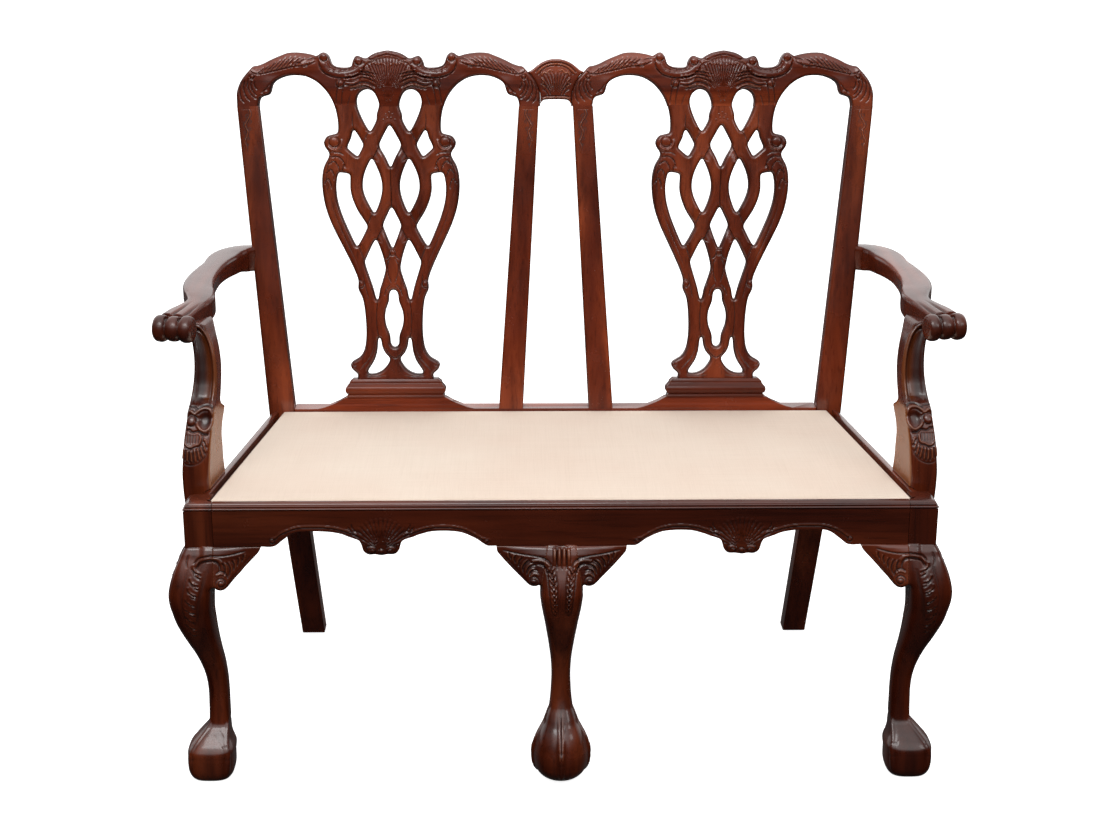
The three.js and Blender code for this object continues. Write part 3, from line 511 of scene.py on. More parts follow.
# ------------------------------------------------------------------ lofts
def round_ring(corners, r, k=4):
    """a closed ring round four or more corners, each rounded by r (one number, or one each)"""
    C = np.asarray(corners, float)
    n = len(C)
    out = []
    for i in range(n):
        ri = r[i] if hasattr(r, "__len__") else r
        p, q = C[i - 1] - C[i], C[(i + 1) % n] - C[i]
        p, q = p / np.linalg.norm(p), q / np.linalg.norm(q)
        for a in np.linspace(0, math.pi / 2, k):
            out.append(C[i] + ri * ((1 - math.sin(a)) * p + (1 - math.cos(a)) * q))
    return np.array(out)


def loft(rings):
    """skins equal rings, with flat ends; returns points and face groups, turned outward"""
    R = np.array(rings)
    n, m = R.shape[:2]
    P = R.reshape(-1, 3)
    i, j = np.meshgrid(np.arange(n - 1), np.arange(m), indexing="ij")
    a, b = (i * m + j).ravel(), (i * m + (j + 1) % m).ravel()
    Q = np.stack([a, b, b + m, a + m], 1)
    P = np.vstack([P, R[0].mean(0)[None], R[-1].mean(0)[None]])
    j = np.arange(m)
    k = (j + 1) % m
    caps = np.vstack([np.stack([np.full(m, n * m), k, j], 1),
                      np.stack([np.full(m, n * m + 1), (n - 1) * m + j, (n - 1) * m + k], 1)])
    groups = [Q, caps]
    v = volume(P, groups)
    return P, groups if v > 0 else [g[:, ::-1] for g in groups]


def volume(P, groups):
    v = 0.0
    for G in groups:
        for k in range(1, G.shape[1] - 1):
            a, b, c = P[G[:, 0]], P[G[:, k]], P[G[:, k + 1]]
            v += (a * np.cross(b, c)).sum() / 6
    return v


def join(*parts):
    P, groups, n = [], [], 0
    for p, g in parts:
        P.append(p)
        groups += [x + n for x in g]
        n += len(p)
    return np.vstack(P), groups


def mirror(P, groups):
    Q = P.copy()
    Q[:, 0] *= -1
    return Q, [g[:, ::-1] for g in groups]


# ------------------------------------------------------------------ objects
def bend_shading(P, groups, cav, gain):
    """painted shade in hollows and painted highlights on ridges, from the surface's own bending"""
    n = len(P)
    N = normals_of(P, groups)
    E = np.vstack([np.stack([G[:, k], G[:, (k + 1) % G.shape[1]]], 1) for G in groups for k in range(G.shape[1])])
    E = np.vstack([E, E[:, ::-1]])
    cnt = np.maximum(np.bincount(E[:, 0], minlength=n), 1)
    D = P[E[:, 1]] - P[E[:, 0]]
    l2 = (D * D).sum(1)
    bend = 2 * np.bincount(E[:, 0], (D * N[E[:, 0]]).sum(1), n) / np.maximum(np.bincount(E[:, 0], l2, n), 0.15 * cnt)
    bend = 0.4 * bend + 0.6 * np.bincount(E[:, 0], bend[E[:, 1]], n) / cnt
    add = np.clip(bend * 1.3, 0, 0.8) - np.clip((-bend - 0.14) * 0.9, 0, 0.55)
    out = np.zeros(n)
    if cav is not None:
        out[:len(cav)] = cav
    return np.clip(out + gain * add, -1, 1)


def make(name, P, groups, material, body="frame", nodes=(), slot="polished_mahogany", cav=None, angle=35.0, second=None, pale=None, wear=1.0):
    me = bpy.data.meshes.new(name)
    groups = [g for g in groups if len(g)]
    # painted shade in the hollows and painted highlights on the ridges of the frame pieces
    if wear and body == "frame":
        cav = bend_shading(P, groups, cav, wear)
    P = row(P)
    me.vertices.add(len(P))
    me.vertices.foreach_set("co", P.astype(np.float32).ravel())
    sizes = np.concatenate([np.full(len(g), g.shape[1]) for g in groups])
    me.loops.add(int(sizes.sum()))
    me.loops.foreach_set("vertex_index", np.concatenate([g.ravel() for g in groups]).astype(np.int32))
    me.polygons.add(len(sizes))
    me.polygons.foreach_set("loop_start", np.concatenate([[0], np.cumsum(sizes)[:-1]]).astype(np.int32))
    me.update(calc_edges=True)
    me.validate()
    if cav is not None and len(cav) <= len(me.vertices):
        full = np.zeros(len(me.vertices), np.float32)
        full[:len(cav)] = cav
        me.attributes.new("cav", "FLOAT", "POINT").data.foreach_set("value", full)
    if pale is not None:
        me.attributes.new("pale", "FLOAT", "POINT").data.foreach_set("value", pale.astype(np.float32))
    me.polygons.foreach_set("use_smooth", np.ones(len(me.polygons), bool))
    if angle:
        me.set_sharp_from_angle(angle=math.radians(angle))
    me.materials.append(material)
    if second:
        me.materials.append(second[0])
        idx = np.zeros(len(me.polygons), np.int32)
        idx[second[1]:] = 1
        me.polygons.foreach_set("material_index", idx)
    ob = bpy.data.objects.new(name, me)
    bpy.context.scene.collection.objects.link(ob)
    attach(ob, body)
    if nodes:
        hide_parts(*nodes)
    return ob


def make_pair(name, P, groups, material, nodes, cav=None, **kw):
    """the right-hand piece and its mirror image"""
    make(name + "_r", P, groups, material, nodes=[n + "_right" for n in nodes], cav=cav, **kw)
    Q, g = mirror(P, groups)
    make(name + "_l", Q, g, material, nodes=[n + "_left" for n in nodes], cav=cav, **kw)


# ------------------------------------------------------------------ materials
def lin(r, g, b):
    def f(c):
        c /= 255.0
        return c / 12.92 if c <= 0.04045 else ((c + 0.055) / 1.055) ** 2.4
    return (f(r), f(g), f(b), 1.0)


class Nodes:
    def __init__(self, name):
        self.mat = bpy.data.materials.new(name)
        self.mat.use_nodes = True
        self.t = self.mat.node_tree
        self.t.nodes.clear()
        self.out = self.add("ShaderNodeOutputMaterial")
        self.bsdf = self.add("ShaderNodeBsdfPrincipled")
        self.link(self.bsdf.outputs[0], self.out.inputs[0])

    def add(self, kind, **inputs):
        n = self.t.nodes.new(kind)
        for k, v in inputs.items():
            if k in n.inputs:
                n.inputs[k].default_value = v
            else:
                setattr(n, k, v)
        return n

    def link(self, a, b):
        self.t.links.new(a, b)

    def ramp(self, src, stops):
        n = self.add("ShaderNodeValToRGB")
        el = n.color_ramp.elements
        while len(el) < len(stops):
            el.new(0.5)
        for e, (p, c) in zip(el, stops):
            e.position = p
            e.color = c if len(c) == 4 else (*c, 1)
        self.link(src, n.inputs[0])
        return n.outputs[0]

    def noise(self, coords, scale, detail=4.0, rough=0.55, distortion=0.0):
        n = self.add("ShaderNodeTexNoise")
        n.inputs["Scale"].default_value = scale
        n.inputs["Detail"].default_value = detail
        n.inputs["Roughness"].default_value = rough
        n.inputs["Distortion"].default_value = distortion
        self.link(coords, n.inputs["Vector"])
        return n.outputs["Fac"]

    def mapping(self, scale, rot=(0, 0, 0)):
        c = self.add("ShaderNodeTexCoord")
        m = self.add("ShaderNodeMapping")
        m.inputs["Scale"].default_value = scale
        m.inputs["Rotation"].default_value = rot
        self.link(c.outputs["Object"], m.inputs["Vector"])
        return m.outputs[0]

    def math(self, op, a, b=None, clamp=False):
        n = self.add("ShaderNodeMath", operation=op)
        n.use_clamp = clamp
        for i, v in enumerate((a, b)):
            if v is None:
                continue
            if isinstance(v, (int, float)):
                n.inputs[i].default_value = v
            else:
                self.link(v, n.inputs[i])
        return n.outputs[0]

    def mix(self, fac, a, b, mode="MIX"):
        n = self.add("ShaderNodeMix", data_type="RGBA", blend_type=mode)
        for sock, v in ((n.inputs["Factor"], fac), (n.inputs[6], a), (n.inputs[7], b)):
            if isinstance(v, (int, float)):
                sock.default_value = v
            elif isinstance(v, tuple):
                sock.default_value = v
            else:
                self.link(v, sock)
        return n.outputs[2]


def mahogany(name, grain="x", tone=1.0, rot=(0, 0, 0), gloss=0.0, shine=1.0):
    """polished mahogany; the grain runs along x, y or z; tone scales the colour, partly the wood's own tone and partly
    painted light and shade; the cav attribute paints shade into recesses and, below zero, highlights onto ridges
    """
    N = Nodes(name)
    k = {"x": (2.4, 46.0, 46.0), "y": (46.0, 2.4, 46.0), "z": (46.0, 46.0, 2.4)}[grain]
    streak = N.noise(N.mapping(k, rot), 1.0, 6.0, 0.62, 0.4)
    band = N.noise(N.mapping(tuple(0.30 * q if q > 10 else 0.7 * q for q in k), rot), 1.0, 3.0, 0.5, 0.5)
    pore = N.noise(N.mapping(tuple(6.0 * q if q > 10 else 5.0 * q for q in k), rot), 1.0, 2.0, 0.6)
    blot = N.noise(N.mapping((7, 7, 7)), 1.0, 3.0, 0.5)

    def c(r, g, b):
        return (r * tone, g * tone, b * tone, 1)
    base = N.ramp(band, [(0.34, c(0.116, 0.0172, 0.0062)), (0.52, c(0.196, 0.0318, 0.0100)), (0.67, c(0.310, 0.0590, 0.0190))])
    col = N.mix(0.8, base, N.ramp(streak, [(0.34, (0.42, 0.36, 0.34)), (0.50, (0.86, 0.84, 0.82)), (0.62, (1.12, 1.1, 1.08))]), "MULTIPLY")
    col = N.mix(0.5, col, N.ramp(pore, [(0.32, (0.45, 0.40, 0.38)), (0.42, (1, 1, 1))]), "MULTIPLY")
    col = N.mix(0.7, col, N.ramp(blot, [(0.35, (0.74, 0.70, 0.68)), (0.62, (1.1, 1.08, 1.06))]), "MULTIPLY")
    # painted shade: positive cav takes the colour towards near-black brown; painted highlight: negative cav takes it
    # towards a light orange
    at = N.add("ShaderNodeAttribute", attribute_name="cav")
    deep = N.math("MULTIPLY", at.outputs["Fac"], 0.8, clamp=True)
    col = N.mix(deep, col, c(0.022, 0.0050, 0.0028))
    high = N.math("MULTIPLY", at.outputs["Fac"], -1.0, clamp=True)
    col = N.mix(high, col, c(0.62, 0.24, 0.12))
    tan = N.add("ShaderNodeAttribute", attribute_name="pale")
    col = N.mix(N.math("MULTIPLY", tan.outputs["Fac"], 1.0, clamp=True), col, N.mix(streak, (0.235, 0.062, 0.010, 1), (0.34, 0.102, 0.018, 1)))
    N.link(col, N.bsdf.inputs["Base Color"])
    rough = N.ramp(N.noise(N.mapping((22, 22, 22)), 1.0, 4.0, 0.6), [(0.3, (0.19 + gloss,) * 3), (0.7, (0.29 + gloss,) * 3)])
    N.link(N.mix(deep, rough, (0.55, 0.55, 0.55, 1)), N.bsdf.inputs["Roughness"])
    b = N.add("ShaderNodeBump")
    b.inputs["Strength"].default_value = 0.09
    b.inputs["Distance"].default_value = 0.0004
    N.link(N.mix(0.5, pore, N.noise(N.mapping((50, 50, 50)), 1.0, 3.0, 0.5)), b.inputs["Height"])
    N.link(b.outputs[0], N.bsdf.inputs["Normal"])
    N.bsdf.inputs["Specular IOR Level"].default_value = 0.5 * shine
    N.bsdf.inputs["Coat Weight"].default_value = 0.35 * shine
    N.bsdf.inputs["Coat Roughness"].default_value = 0.09
    return N.mat


def pine(name, grain):
    N = Nodes(name)
    k = {"x": (2.0, 40.0, 40.0), "y": (40.0, 2.0, 40.0), "z": (40.0, 40.0, 2.0)}[grain]
    s = N.noise(N.mapping(k), 1.0, 5.0, 0.6, 0.5)
    rings = N.noise(N.mapping(tuple(0.3 * q for q in k)), 1.0, 2.0, 0.5, 0.8)
    col = N.ramp(rings, [(0.3, lin(150, 108, 64)), (0.55, lin(184, 142, 92)), (0.75, lin(206, 168, 118))])
    col = N.mix(0.6, col, N.ramp(s, [(0.35, (0.62, 0.56, 0.5)), (0.6, (1, 1, 1))]), "MULTIPLY")
    N.link(col, N.bsdf.inputs["Base Color"])
    N.link(N.ramp(s, [(0.3, (0.62,) * 3), (0.7, (0.8,) * 3)]), N.bsdf.inputs["Roughness"])
    b = N.add("ShaderNodeBump")
    b.inputs["Strength"].default_value = 0.25
    b.inputs["Distance"].default_value = 0.0006
    N.link(s, b.inputs["Height"])
    N.link(b.outputs[0], N.bsdf.inputs["Normal"])
    return N.mat


def woven(name, c0, c1, threads=900.0, strength=0.35, blot=0.5, rough=0.92, sheen=0.15):
    """plain-woven cloth: two crossed sets of threads"""
    N = Nodes(name)
    co = N.add("ShaderNodeTexCoord")
    sep = N.add("ShaderNodeSeparateXYZ")
    N.link(co.outputs["Object"], sep.inputs[0])
    sx = N.math("SINE", N.math("MULTIPLY", sep.outputs[0], threads * 2 * math.pi))
    sy = N.math("SINE", N.math("MULTIPLY", sep.outputs[1], threads * 2 * math.pi))
    weave = N.math("MULTIPLY", sx, sy)
    slub_x = N.noise(N.mapping((6, 700, 700)), 1.0, 3.0, 0.6)
    slub_y = N.noise(N.mapping((700, 6, 700)), 1.0, 3.0, 0.6)
    slub = N.math("ADD", slub_x, slub_y)
    cloud = N.noise(N.mapping((3.2, 3.2, 3.2)), 1.0, 4.0, 0.6)
    col = N.ramp(cloud, [(0.32, c0), (0.68, c1)])
    tone = N.ramp(N.math("MULTIPLY", slub, 0.5), [(0.38, (0.90, 0.885, 0.86)), (0.56, (1, 1, 1))])
    col = N.mix(blot, col, tone, "MULTIPLY")
    wtone = N.ramp(N.math("ADD", N.math("MULTIPLY", weave, 0.5), 0.5), [(0.0, (0.90, 0.89, 0.87)), (1.0, (1, 1, 1))])
    col = N.mix(0.6, col, wtone, "MULTIPLY")
    N.link(col, N.bsdf.inputs["Base Color"])
    N.bsdf.inputs["Roughness"].default_value = rough
    N.bsdf.inputs["Sheen Weight"].default_value = sheen
    N.bsdf.inputs["Sheen Roughness"].default_value = 0.5
    b = N.add("ShaderNodeBump")
    b.inputs["Strength"].default_value = strength
    b.inputs["Distance"].default_value = 0.0005
    N.link(N.math("ADD", N.math("MULTIPLY", weave, 0.5), slub), b.inputs["Height"])
    N.link(b.outputs[0], N.bsdf.inputs["Normal"])
    return N.mat


def steel(name):
    N = Nodes(name)
    n = N.noise(N.mapping((300, 300, 300)), 1.0, 3.0, 0.6)
    N.link(N.ramp(n, [(0.3, lin(96, 90, 82)), (0.7, lin(140, 134, 124))]), N.bsdf.inputs["Base Color"])
    N.link(N.ramp(n, [(0.3, (0.35,) * 3), (0.7, (0.55,) * 3)]), N.bsdf.inputs["Roughness"])
    N.bsdf.inputs["Metallic"].default_value = 1.0
    return N.mat


# tone: partly the wood's own tone, partly painted light and shade; the crest and rear rail painted lighter, the front
# rail, corner posts, legs, brackets and supports painted darker
M_CREST = mahogany("mahogany_crest", "x", 1.18)
M_SPLAT = mahogany("mahogany_splat", "z", 0.95)
M_POST = mahogany("mahogany_post", "z", 0.95)
M_RAIL = mahogany("mahogany_rail", "x", 0.52)
M_REAR = mahogany("mahogany_rear_rail", "x", 1.2, shine=0.6)
M_SHOE = mahogany("mahogany_shoe", "x", 0.66, shine=0.4)
M_SIDE = mahogany("mahogany_side_rail", "y", 0.8)
M_ARM = mahogany("mahogany_arm", "y", 0.7)
M_SUPPORT = mahogany("mahogany_support", "z", 0.62)
M_LEG = mahogany("mahogany_leg", "z", 0.58)
M_POSTBLOCK = mahogany("mahogany_corner_post", "z", 0.52)
M_BRACKET = mahogany("mahogany_bracket", "x", 0.6)
M_CALICO = woven("calico", lin(245, 223, 205), lin(250, 233, 216))
M_HESSIAN = woven("hessian", lin(150, 118, 76), lin(176, 142, 96), threads=420.0, strength=0.8, blot=0.9)
M_WEBBING = woven("jute_webbing", lin(128, 96, 60), lin(158, 124, 82), threads=520.0, strength=0.8, blot=0.9)
M_PINE_X = pine("pine_x", "x")
M_PINE_Y = pine("pine_y", "y")
M_STEEL = steel("screw_steel")

# CAD nodes that stay as they are take their finish here
for name, m in [("front_corner_block_left", M_PINE_X), ("front_corner_block_right", M_PINE_X), ("rear_corner_block_left", M_PINE_X),
                ("rear_corner_block_right", M_PINE_X), ("centre_brace", M_PINE_Y), ("seat_frame_front", M_PINE_X), ("seat_frame_rear", M_PINE_X),
                ("seat_frame_side_left", M_PINE_Y), ("seat_frame_side_right", M_PINE_Y), ("seat_frame_cross", M_PINE_Y),
                ("seat_webbing", M_WEBBING),
                ("support_screw_1_left", M_STEEL), ("support_screw_1_right", M_STEEL), ("support_screw_2_left", M_STEEL), ("support_screw_2_right", M_STEEL)]:
    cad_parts[name].data.materials.clear()
    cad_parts[name].data.materials.append(m)

# ------------------------------------------------------------------ outlines of one chair back
CREST_TOP = [(0, 591), (10, 589.5), (20, 587), (28, 583), (34, 579), (38, 578.5), (45, 581), (50, 582.5), (54, 580.5), (58, 573),
    (60, 566), (64, 564), (75, 563.5), (85, 565), (92, 569), (98, 583), (103, 587.5), (108, 587.5), (117, 582.5), (125, 584.5),
    (135, 586.5), (150, 588), (165, 587), (175, 583.5), (185, 579.5), (195, 575), (205, 570), (215, 566.5), (222, 565), (230, 557),
    (236.5, 550), (243, 541), (248, 530), (250.4, 520), (250.5, 500)]
CREST_UNDER = [(215, 500), (215, 505), (211.8, 514.2), (197, 520.7), (191.3, 536), (186.5, 541.4), (174.8, 547.4), (160.1, 550.6),
    (135.8, 548.5), (115.9, 538.1), (99.5, 520), (90.2, 500.3)]
SPLAT_SIDE = [(85.4, 475.5), (86.1, 458.6), (88.1, 456), (103.7, 451), (109.4, 441.7), (108.2, 434.4), (101.3, 421.5),
    (109.8, 402.8), (113.2, 390.1), (114.5, 373.2), (113.3, 354.3), (109.7, 333.8), (101.5, 308.7), (59.2, 214), (58.9, 197.4), (52, 180.2),
    (47.9, 144.6), (48.3, 112.4), (52.1, 94), (59.1, 82.9), (72.9, 73.6), (75.3, 68.8), (73, 61.9), (64.1, 52.5), (64.4, 45.4)]
TEAR = [(32.8, 459.9), (34.5, 460.9), (37.5, 465.1), (46, 481.7), (51.6, 496.3), (53.9, 506.4), (52.9, 514.6), (49.6, 521.1), (43.2, 526.1), (37.2, 527.7),
    (30.1, 526.6), (24.2, 522.5), (19.2, 513.5), (16.6, 503.6), (16.8, 500.5), (20.8, 486.8), (21.7, 477.7), (29.2, 462.9), (31.1, 460.5)]
CDIA = [(0, 401.4), (1.4, 402.1), (2.4, 403.8), (8.4, 417), (16.4, 431.5), (17.6, 437.1), (17.1, 439.9), (14.7, 445.2), (4, 464.7), (1.7, 467.8), (0, 468.4)]
SDIA = [(59.4, 460.5), (57.7, 460), (55.7, 457.6), (46.8, 442.6), (44.9, 437.9), (45.4, 434.1), (50.2, 424.3), (52.9, 419.9), (55, 418.8), (57.2, 419.7),
    (68, 428.7), (70.2, 431), (70.8, 432.7), (70.2, 435.8), (64.9, 447.5), (61.5, 458.6)]
LENS = [(29, 325.4), (30.8, 326.4), (33.5, 330.4), (42.7, 348.7), (46.3, 360.3), (47.3, 369.9), (45.8, 383), (41.3, 396.8), (34.2, 410.7), (32.7, 412.5),
    (30.6, 413.1), (28.8, 412), (27.5, 410), (19.3, 391.1), (15.8, 378.3), (14.9, 369.9), (15.7, 357.9), (19.4, 343.8), (25.2, 329.3), (27.2, 326.3)]
CRES = [(59.6, 269.7), (60.8, 270.4), (62.6, 273.2), (78.7, 309.9), (85.1, 328), (89.1, 343.2), (91, 357), (91.1, 372.7), (88.6, 386.4), (87.1, 389.5),
    (84.4, 391), (70.8, 389.1), (68.2, 387.4), (67.5, 384.3), (67.8, 365.1), (66.7, 356.5), (64.1, 346.3), (56.7, 328.6), (41.6, 303.3), (41.5, 300),
    (42.8, 296.8), (57.2, 271)]
LDIA = [(0, 266.6), (1.3, 267.3), (2.6, 269.7), (13.8, 298.3), (14.9, 302.7), (13.6, 308.1), (7.3, 321.5), (2.6, 330.6), (0, 332.7)]
LLENS = [(27.7, 179.1), (29.3, 180.2), (30.2, 182.6), (34.9, 201), (45.4, 234.5), (46.8, 241.1), (46.3, 245), (44.1, 249.9), (30.5, 276.4), (27.8, 278.8),
    (26.8, 278.6), (25.2, 276.7), (18.1, 257.7), (13.8, 240.7), (12.6, 231.3), (18.5, 209.2), (22.8, 196.5), (25.8, 181.9)]
OVAL = [(0, 99), (4, 100.7), (6.7, 105.2), (8, 118.4), (14, 136), (15.5, 147.9), (14.2, 159.9), (8.7, 176.3), (7, 189.4), (4.3, 193.9), (2, 195.1), (0, 195.4)]
BASE = [(25.4, 114), (23.7, 112.3), (21.6, 100.8), (19.1, 93.5), (15.6, 87.7), (9.6, 80.4), (9.6, 75.9), (16.2, 65.1), (23.3, 58.6), (29.3, 55.5),
    (34, 54), (40.7, 53.4), (44.5, 53.9), (45.8, 55.1), (46.2, 57.7), (37.1, 72.6), (34.1, 78.7), (30.3, 91.8), (27.9, 111.1), (26.8, 113.5)]


def whole(half):
    """a hole across the middle line, from its right half"""
    return list(half) + [(-u, s) for u, s in half[1:-1]][::-1]


def unit_loops(step=1.2):
    right = CREST_TOP[:-1] + [(250.5, 505), (250.5, 470), (250.5, 470), (215, 470), (215, 470)] + CREST_UNDER[1:] + SPLAT_SIDE + [(64.4, 45.4), (64.4, 36), (64.4, 36)]
    left = [(-u, s) for u, s in right[1:]][::-1]
    loops = [curve(right + left, step, True)]
    for h in (TEAR, SDIA, LENS, CRES, LLENS, BASE):
        loops.append(curve(h, step, True))
        loops.append(curve(flip_u(h), step, True))
    for h in (CDIA, LDIA, OVAL):
        loops.append(curve(whole(h), step, True))
    return loops


UNIT = unit_loops()


def place_unit(Q):
    """(u, s, n) of the right-hand chair back to layout space"""
    return back(UNIT_X0 + UNIT_DX * Q[:, 1] + Q[:, 0], Q[:, 1], Q[:, 2])


def both(c, fn):
    """carves the same thing on the right and on its mirror image"""
    fn(c)
    c.u = -c.u
    fn(c)
    c.u = -c.u


# ------------------------------------------------------------------ crest rails
def carve_crest(c):
    # C-scroll beside the middle, a raised band with a dark channel round it
    c.ridge([(108, 575), (104, 563), (97, 556), (83, 552), (68, 552), (55, 555.5), (46, 562), (43, 570)], 5.4, 2.2, taper=0.08)
    c.groove([(114, 574.6), (111, 562), (101.5, 552.5), (88.5, 547.6), (75, 546), (57.6, 548), (41, 558.5), (37, 571)], 1.7, 2.2, taper=0.08)
    c.groove([(98, 573), (90.5, 564.5), (75, 560), (61.6, 562), (57, 570)], 1.3, 1.5, taper=0.1)
    c.dome((105.0, 580.0), 6.6, 3.4, rim=0.6)
    c.dome((48, 573.5), 6.4, 3.2, rim=0.6)
    # gadrooned band along the top of the shoulder
    c.groove([(216, 551), (203, 554), (188, 557), (175, 560), (163, 563), (151, 565), (139, 565.6), (129, 568), (119, 573)], 1.4, 1.8, taper=0.06)
    c.ridge([(214, 554), (188, 560), (163, 566), (139, 569), (122, 574)], 2.2, 0.9, taper=0.1)
    for a in ([(207, 555), (200, 561), (193, 567)], [(200, 556), (191, 564), (182, 573)], [(193, 557), (183, 566), (174, 576)], [(185, 558), (175, 568), (166, 580)],
              [(177, 560), (167, 570), (158, 581)], [(169, 562), (159, 572), (150, 581)], [(161, 563.5), (151, 572), (142, 580)],
              [(153, 565.5), (144, 572), (135, 578)], [(214, 553.5), (208, 558), (202, 563)]):
        c.groove(a, 1.5, 1.7, taper=(0.05, 0.35))
    for a in ([(155, 566), (146, 571), (141, 566)], [(142, 566), (134, 564.5), (128, 572)], [(133, 575), (126, 577), (119, 578)]):
        c.groove(a, 1.2, 1.2)
    # leaf and curl on the corner
    c.groove([(227, 558), (220, 553.4), (210, 553)], 1.5, 1.8)
    c.groove([(228, 550), (224.5, 543.5), (218.5, 549)], 1.3, 1.4)
    for a in ([(229.5, 546), (231.5, 536), (229, 524), (222, 515), (216, 511)], [(224, 542), (226, 533), (223, 524), (217, 517)],
              [(235, 543), (238, 531), (236, 519), (228, 508)], [(240.5, 541), (244, 528), (243, 514), (238, 505)], [(219, 541), (220, 534), (216, 527)]):
        c.groove(a, 1.5, 1.7, taper=(0.1, 0.2))
    c.groove([(210, 521), (202, 528), (194.5, 537)], 1.4, 1.5)
    c.dome((201.5, 522.5), 4.2, 1.2, rim=0.5)
    c.dome((223.5, 548.5), 3.2, 1.4)
    c.groove([(234.5, 553), (246, 537), (248.6, 518), (248.6, 505)], 1.2, 1.4, taper=(0.2, 0.1))
    # leaves that run from the palmette down into the strap roots
    c.groove([(79, 546), (83, 533), (86, 517), (87.5, 503)], 1.6, 1.8, taper=(0.1, 0.25))
    c.groove([(71, 543), (74, 531), (77, 516), (78, 500)], 1.4, 1.4, taper=(0.1, 0.3))
    c.groove([(62, 520), (66, 509), (68, 501)], 1.2, 0.9)
    for a in ([(46, 556), (31, 554.5), (17, 552)], [(72, 546.5), (57, 548), (45, 552), (31, 550), (17.5, 546)], [(70.5, 541), (56, 541.5), (42, 546.5), (29, 543.5), (19, 537.5)],
              [(72, 534.5), (59, 534), (44, 539), (31, 537), (21, 530.5)], [(63, 528), (50, 530), (38, 532), (26, 527)]):
        c.groove(a, 1.7, 2.0, taper=(0.12, 0.15))
    for a in ([(70, 543.8), (57, 544.5), (44, 549), (30, 546.5), (19, 541.5)], [(70, 537.5), (58, 537.5), (43, 542.5), (30, 540), (20, 534)]):
        c.ridge(a, 2.2, 1.3, taper=0.15)


def crest():
    us, ss = lines(-253, 253, 1.0), np.concatenate([[495.0], lines(JOINT_S, 594, 1.0)])
    P, T = plate(UNIT, us, ss, (0.4, 1.5, 4.0), reach=12, clips=((1, JOINT_S, True),))
    u, s, d = P.T
    c = Carve(u, s)
    both(c, carve_crest)
    # palmette in the middle
    c.fan((0, 508), 22, 70, 52, 128, 17, depth=1.1, height=0.9, edge=6.0)
    c.fan((0, 500), 4, 30, 66, 114, 7, depth=0.9, height=0.7, edge=4.0)
    for sg in (1, -1):
        c.ridge([(sg * 13, 534), (sg * 20, 545), (sg * 30, 556), (sg * 38, 565), (sg * 34, 572), (sg * 24, 575), (sg * 12, 580), (0, 582)], 1.6, 1.6, taper=0.1, wear=1.2)
        c.ridge([(sg * 4, 566), (sg * 10, 570), (sg * 16, 568), (sg * 24, 571), (sg * 29, 566)], 1.4, 1.2, taper=0.15, wear=1.0)
        for a in ([(46, 558.6), (33, 558), (21, 553)], [(72, 549), (58, 550.4), (46, 553.6), (32, 552), (19, 547)], [(72, 542), (57, 541.6), (43, 545), (30, 542), (20, 536)], [(70, 534), (58, 532), (44, 535.6), (31, 533), (22, 526)]):
            c.ridge([(sg * x, z) for x, z in a], 1.4, 1.5, taper=0.15, wear=1.2)
        c.dome((sg * 79.5, 537), 6.6, 3.6, rim=0.6)
        for x in (62, 71, 80, 89, 97):
            c.dome((sg * x, 556.4 - 0.009 * (80 - x) ** 2 + 0.02 * (x - 80) ** 2), 1.7, 1.0, rim=0.3, cav=0.5)
    c.groove([(-33, 578), (-24, 576), (-12, 581.5), (0, 584.2), (12, 581.5), (24, 576), (33, 578)], 1.2, 1.7, taper=0.05)
    c.groove([(-36, 579), (-24, 582.8), (-9, 587.2), (0, 588.4), (9, 587.2), (24, 582.8), (36, 579)], 1.0, 0.9, taper=0.05)
    r = np.hypot(u / 1.15, s - 545)
    swell = 3.2 * np.exp(-(r / 34) ** 2)
    strap = 3.0 * smooth((530 - s) / 30) * (np.abs(u) < 130)
    c.cav *= 0.62
    # painted shade along the outline, where the rounded edge turns away from the light
    c.cav = np.maximum(c.cav, 0.75 * np.exp(-(d / 2.2) ** 2))
    n = round_edge(d, 4.6) * 0.95 + 0.85 * c.h * smooth(d / 2.2) + swell - strap
    # the hollow of the shoulders between band and lower edge
    n -= 1.0 * np.exp(-((s - 552) / 9) ** 2) * smooth((np.abs(u) - 110) / 20) * smooth((215 - np.abs(u)) / 20)
    # the top rolls back over the leaves
    ub = np.round(u + 260).astype(int)
    top = np.full(ub.max() + 1, -1e9)
    np.maximum.at(top, ub, s)
    n -= 5.0 * (1 - smooth((top[ub] - s) / 17)) ** 1.2 * smooth((np.abs(u) - 112) / 18) * smooth((228 - np.abs(u)) / 14)
    Q, g = relief_solid(P, T, n, -CREST_T)
    return place_unit(Q), g, c.cav


P, g, cav = crest()
make_pair("crest", P, g, M_CREST, ["crest_rail"], cav)

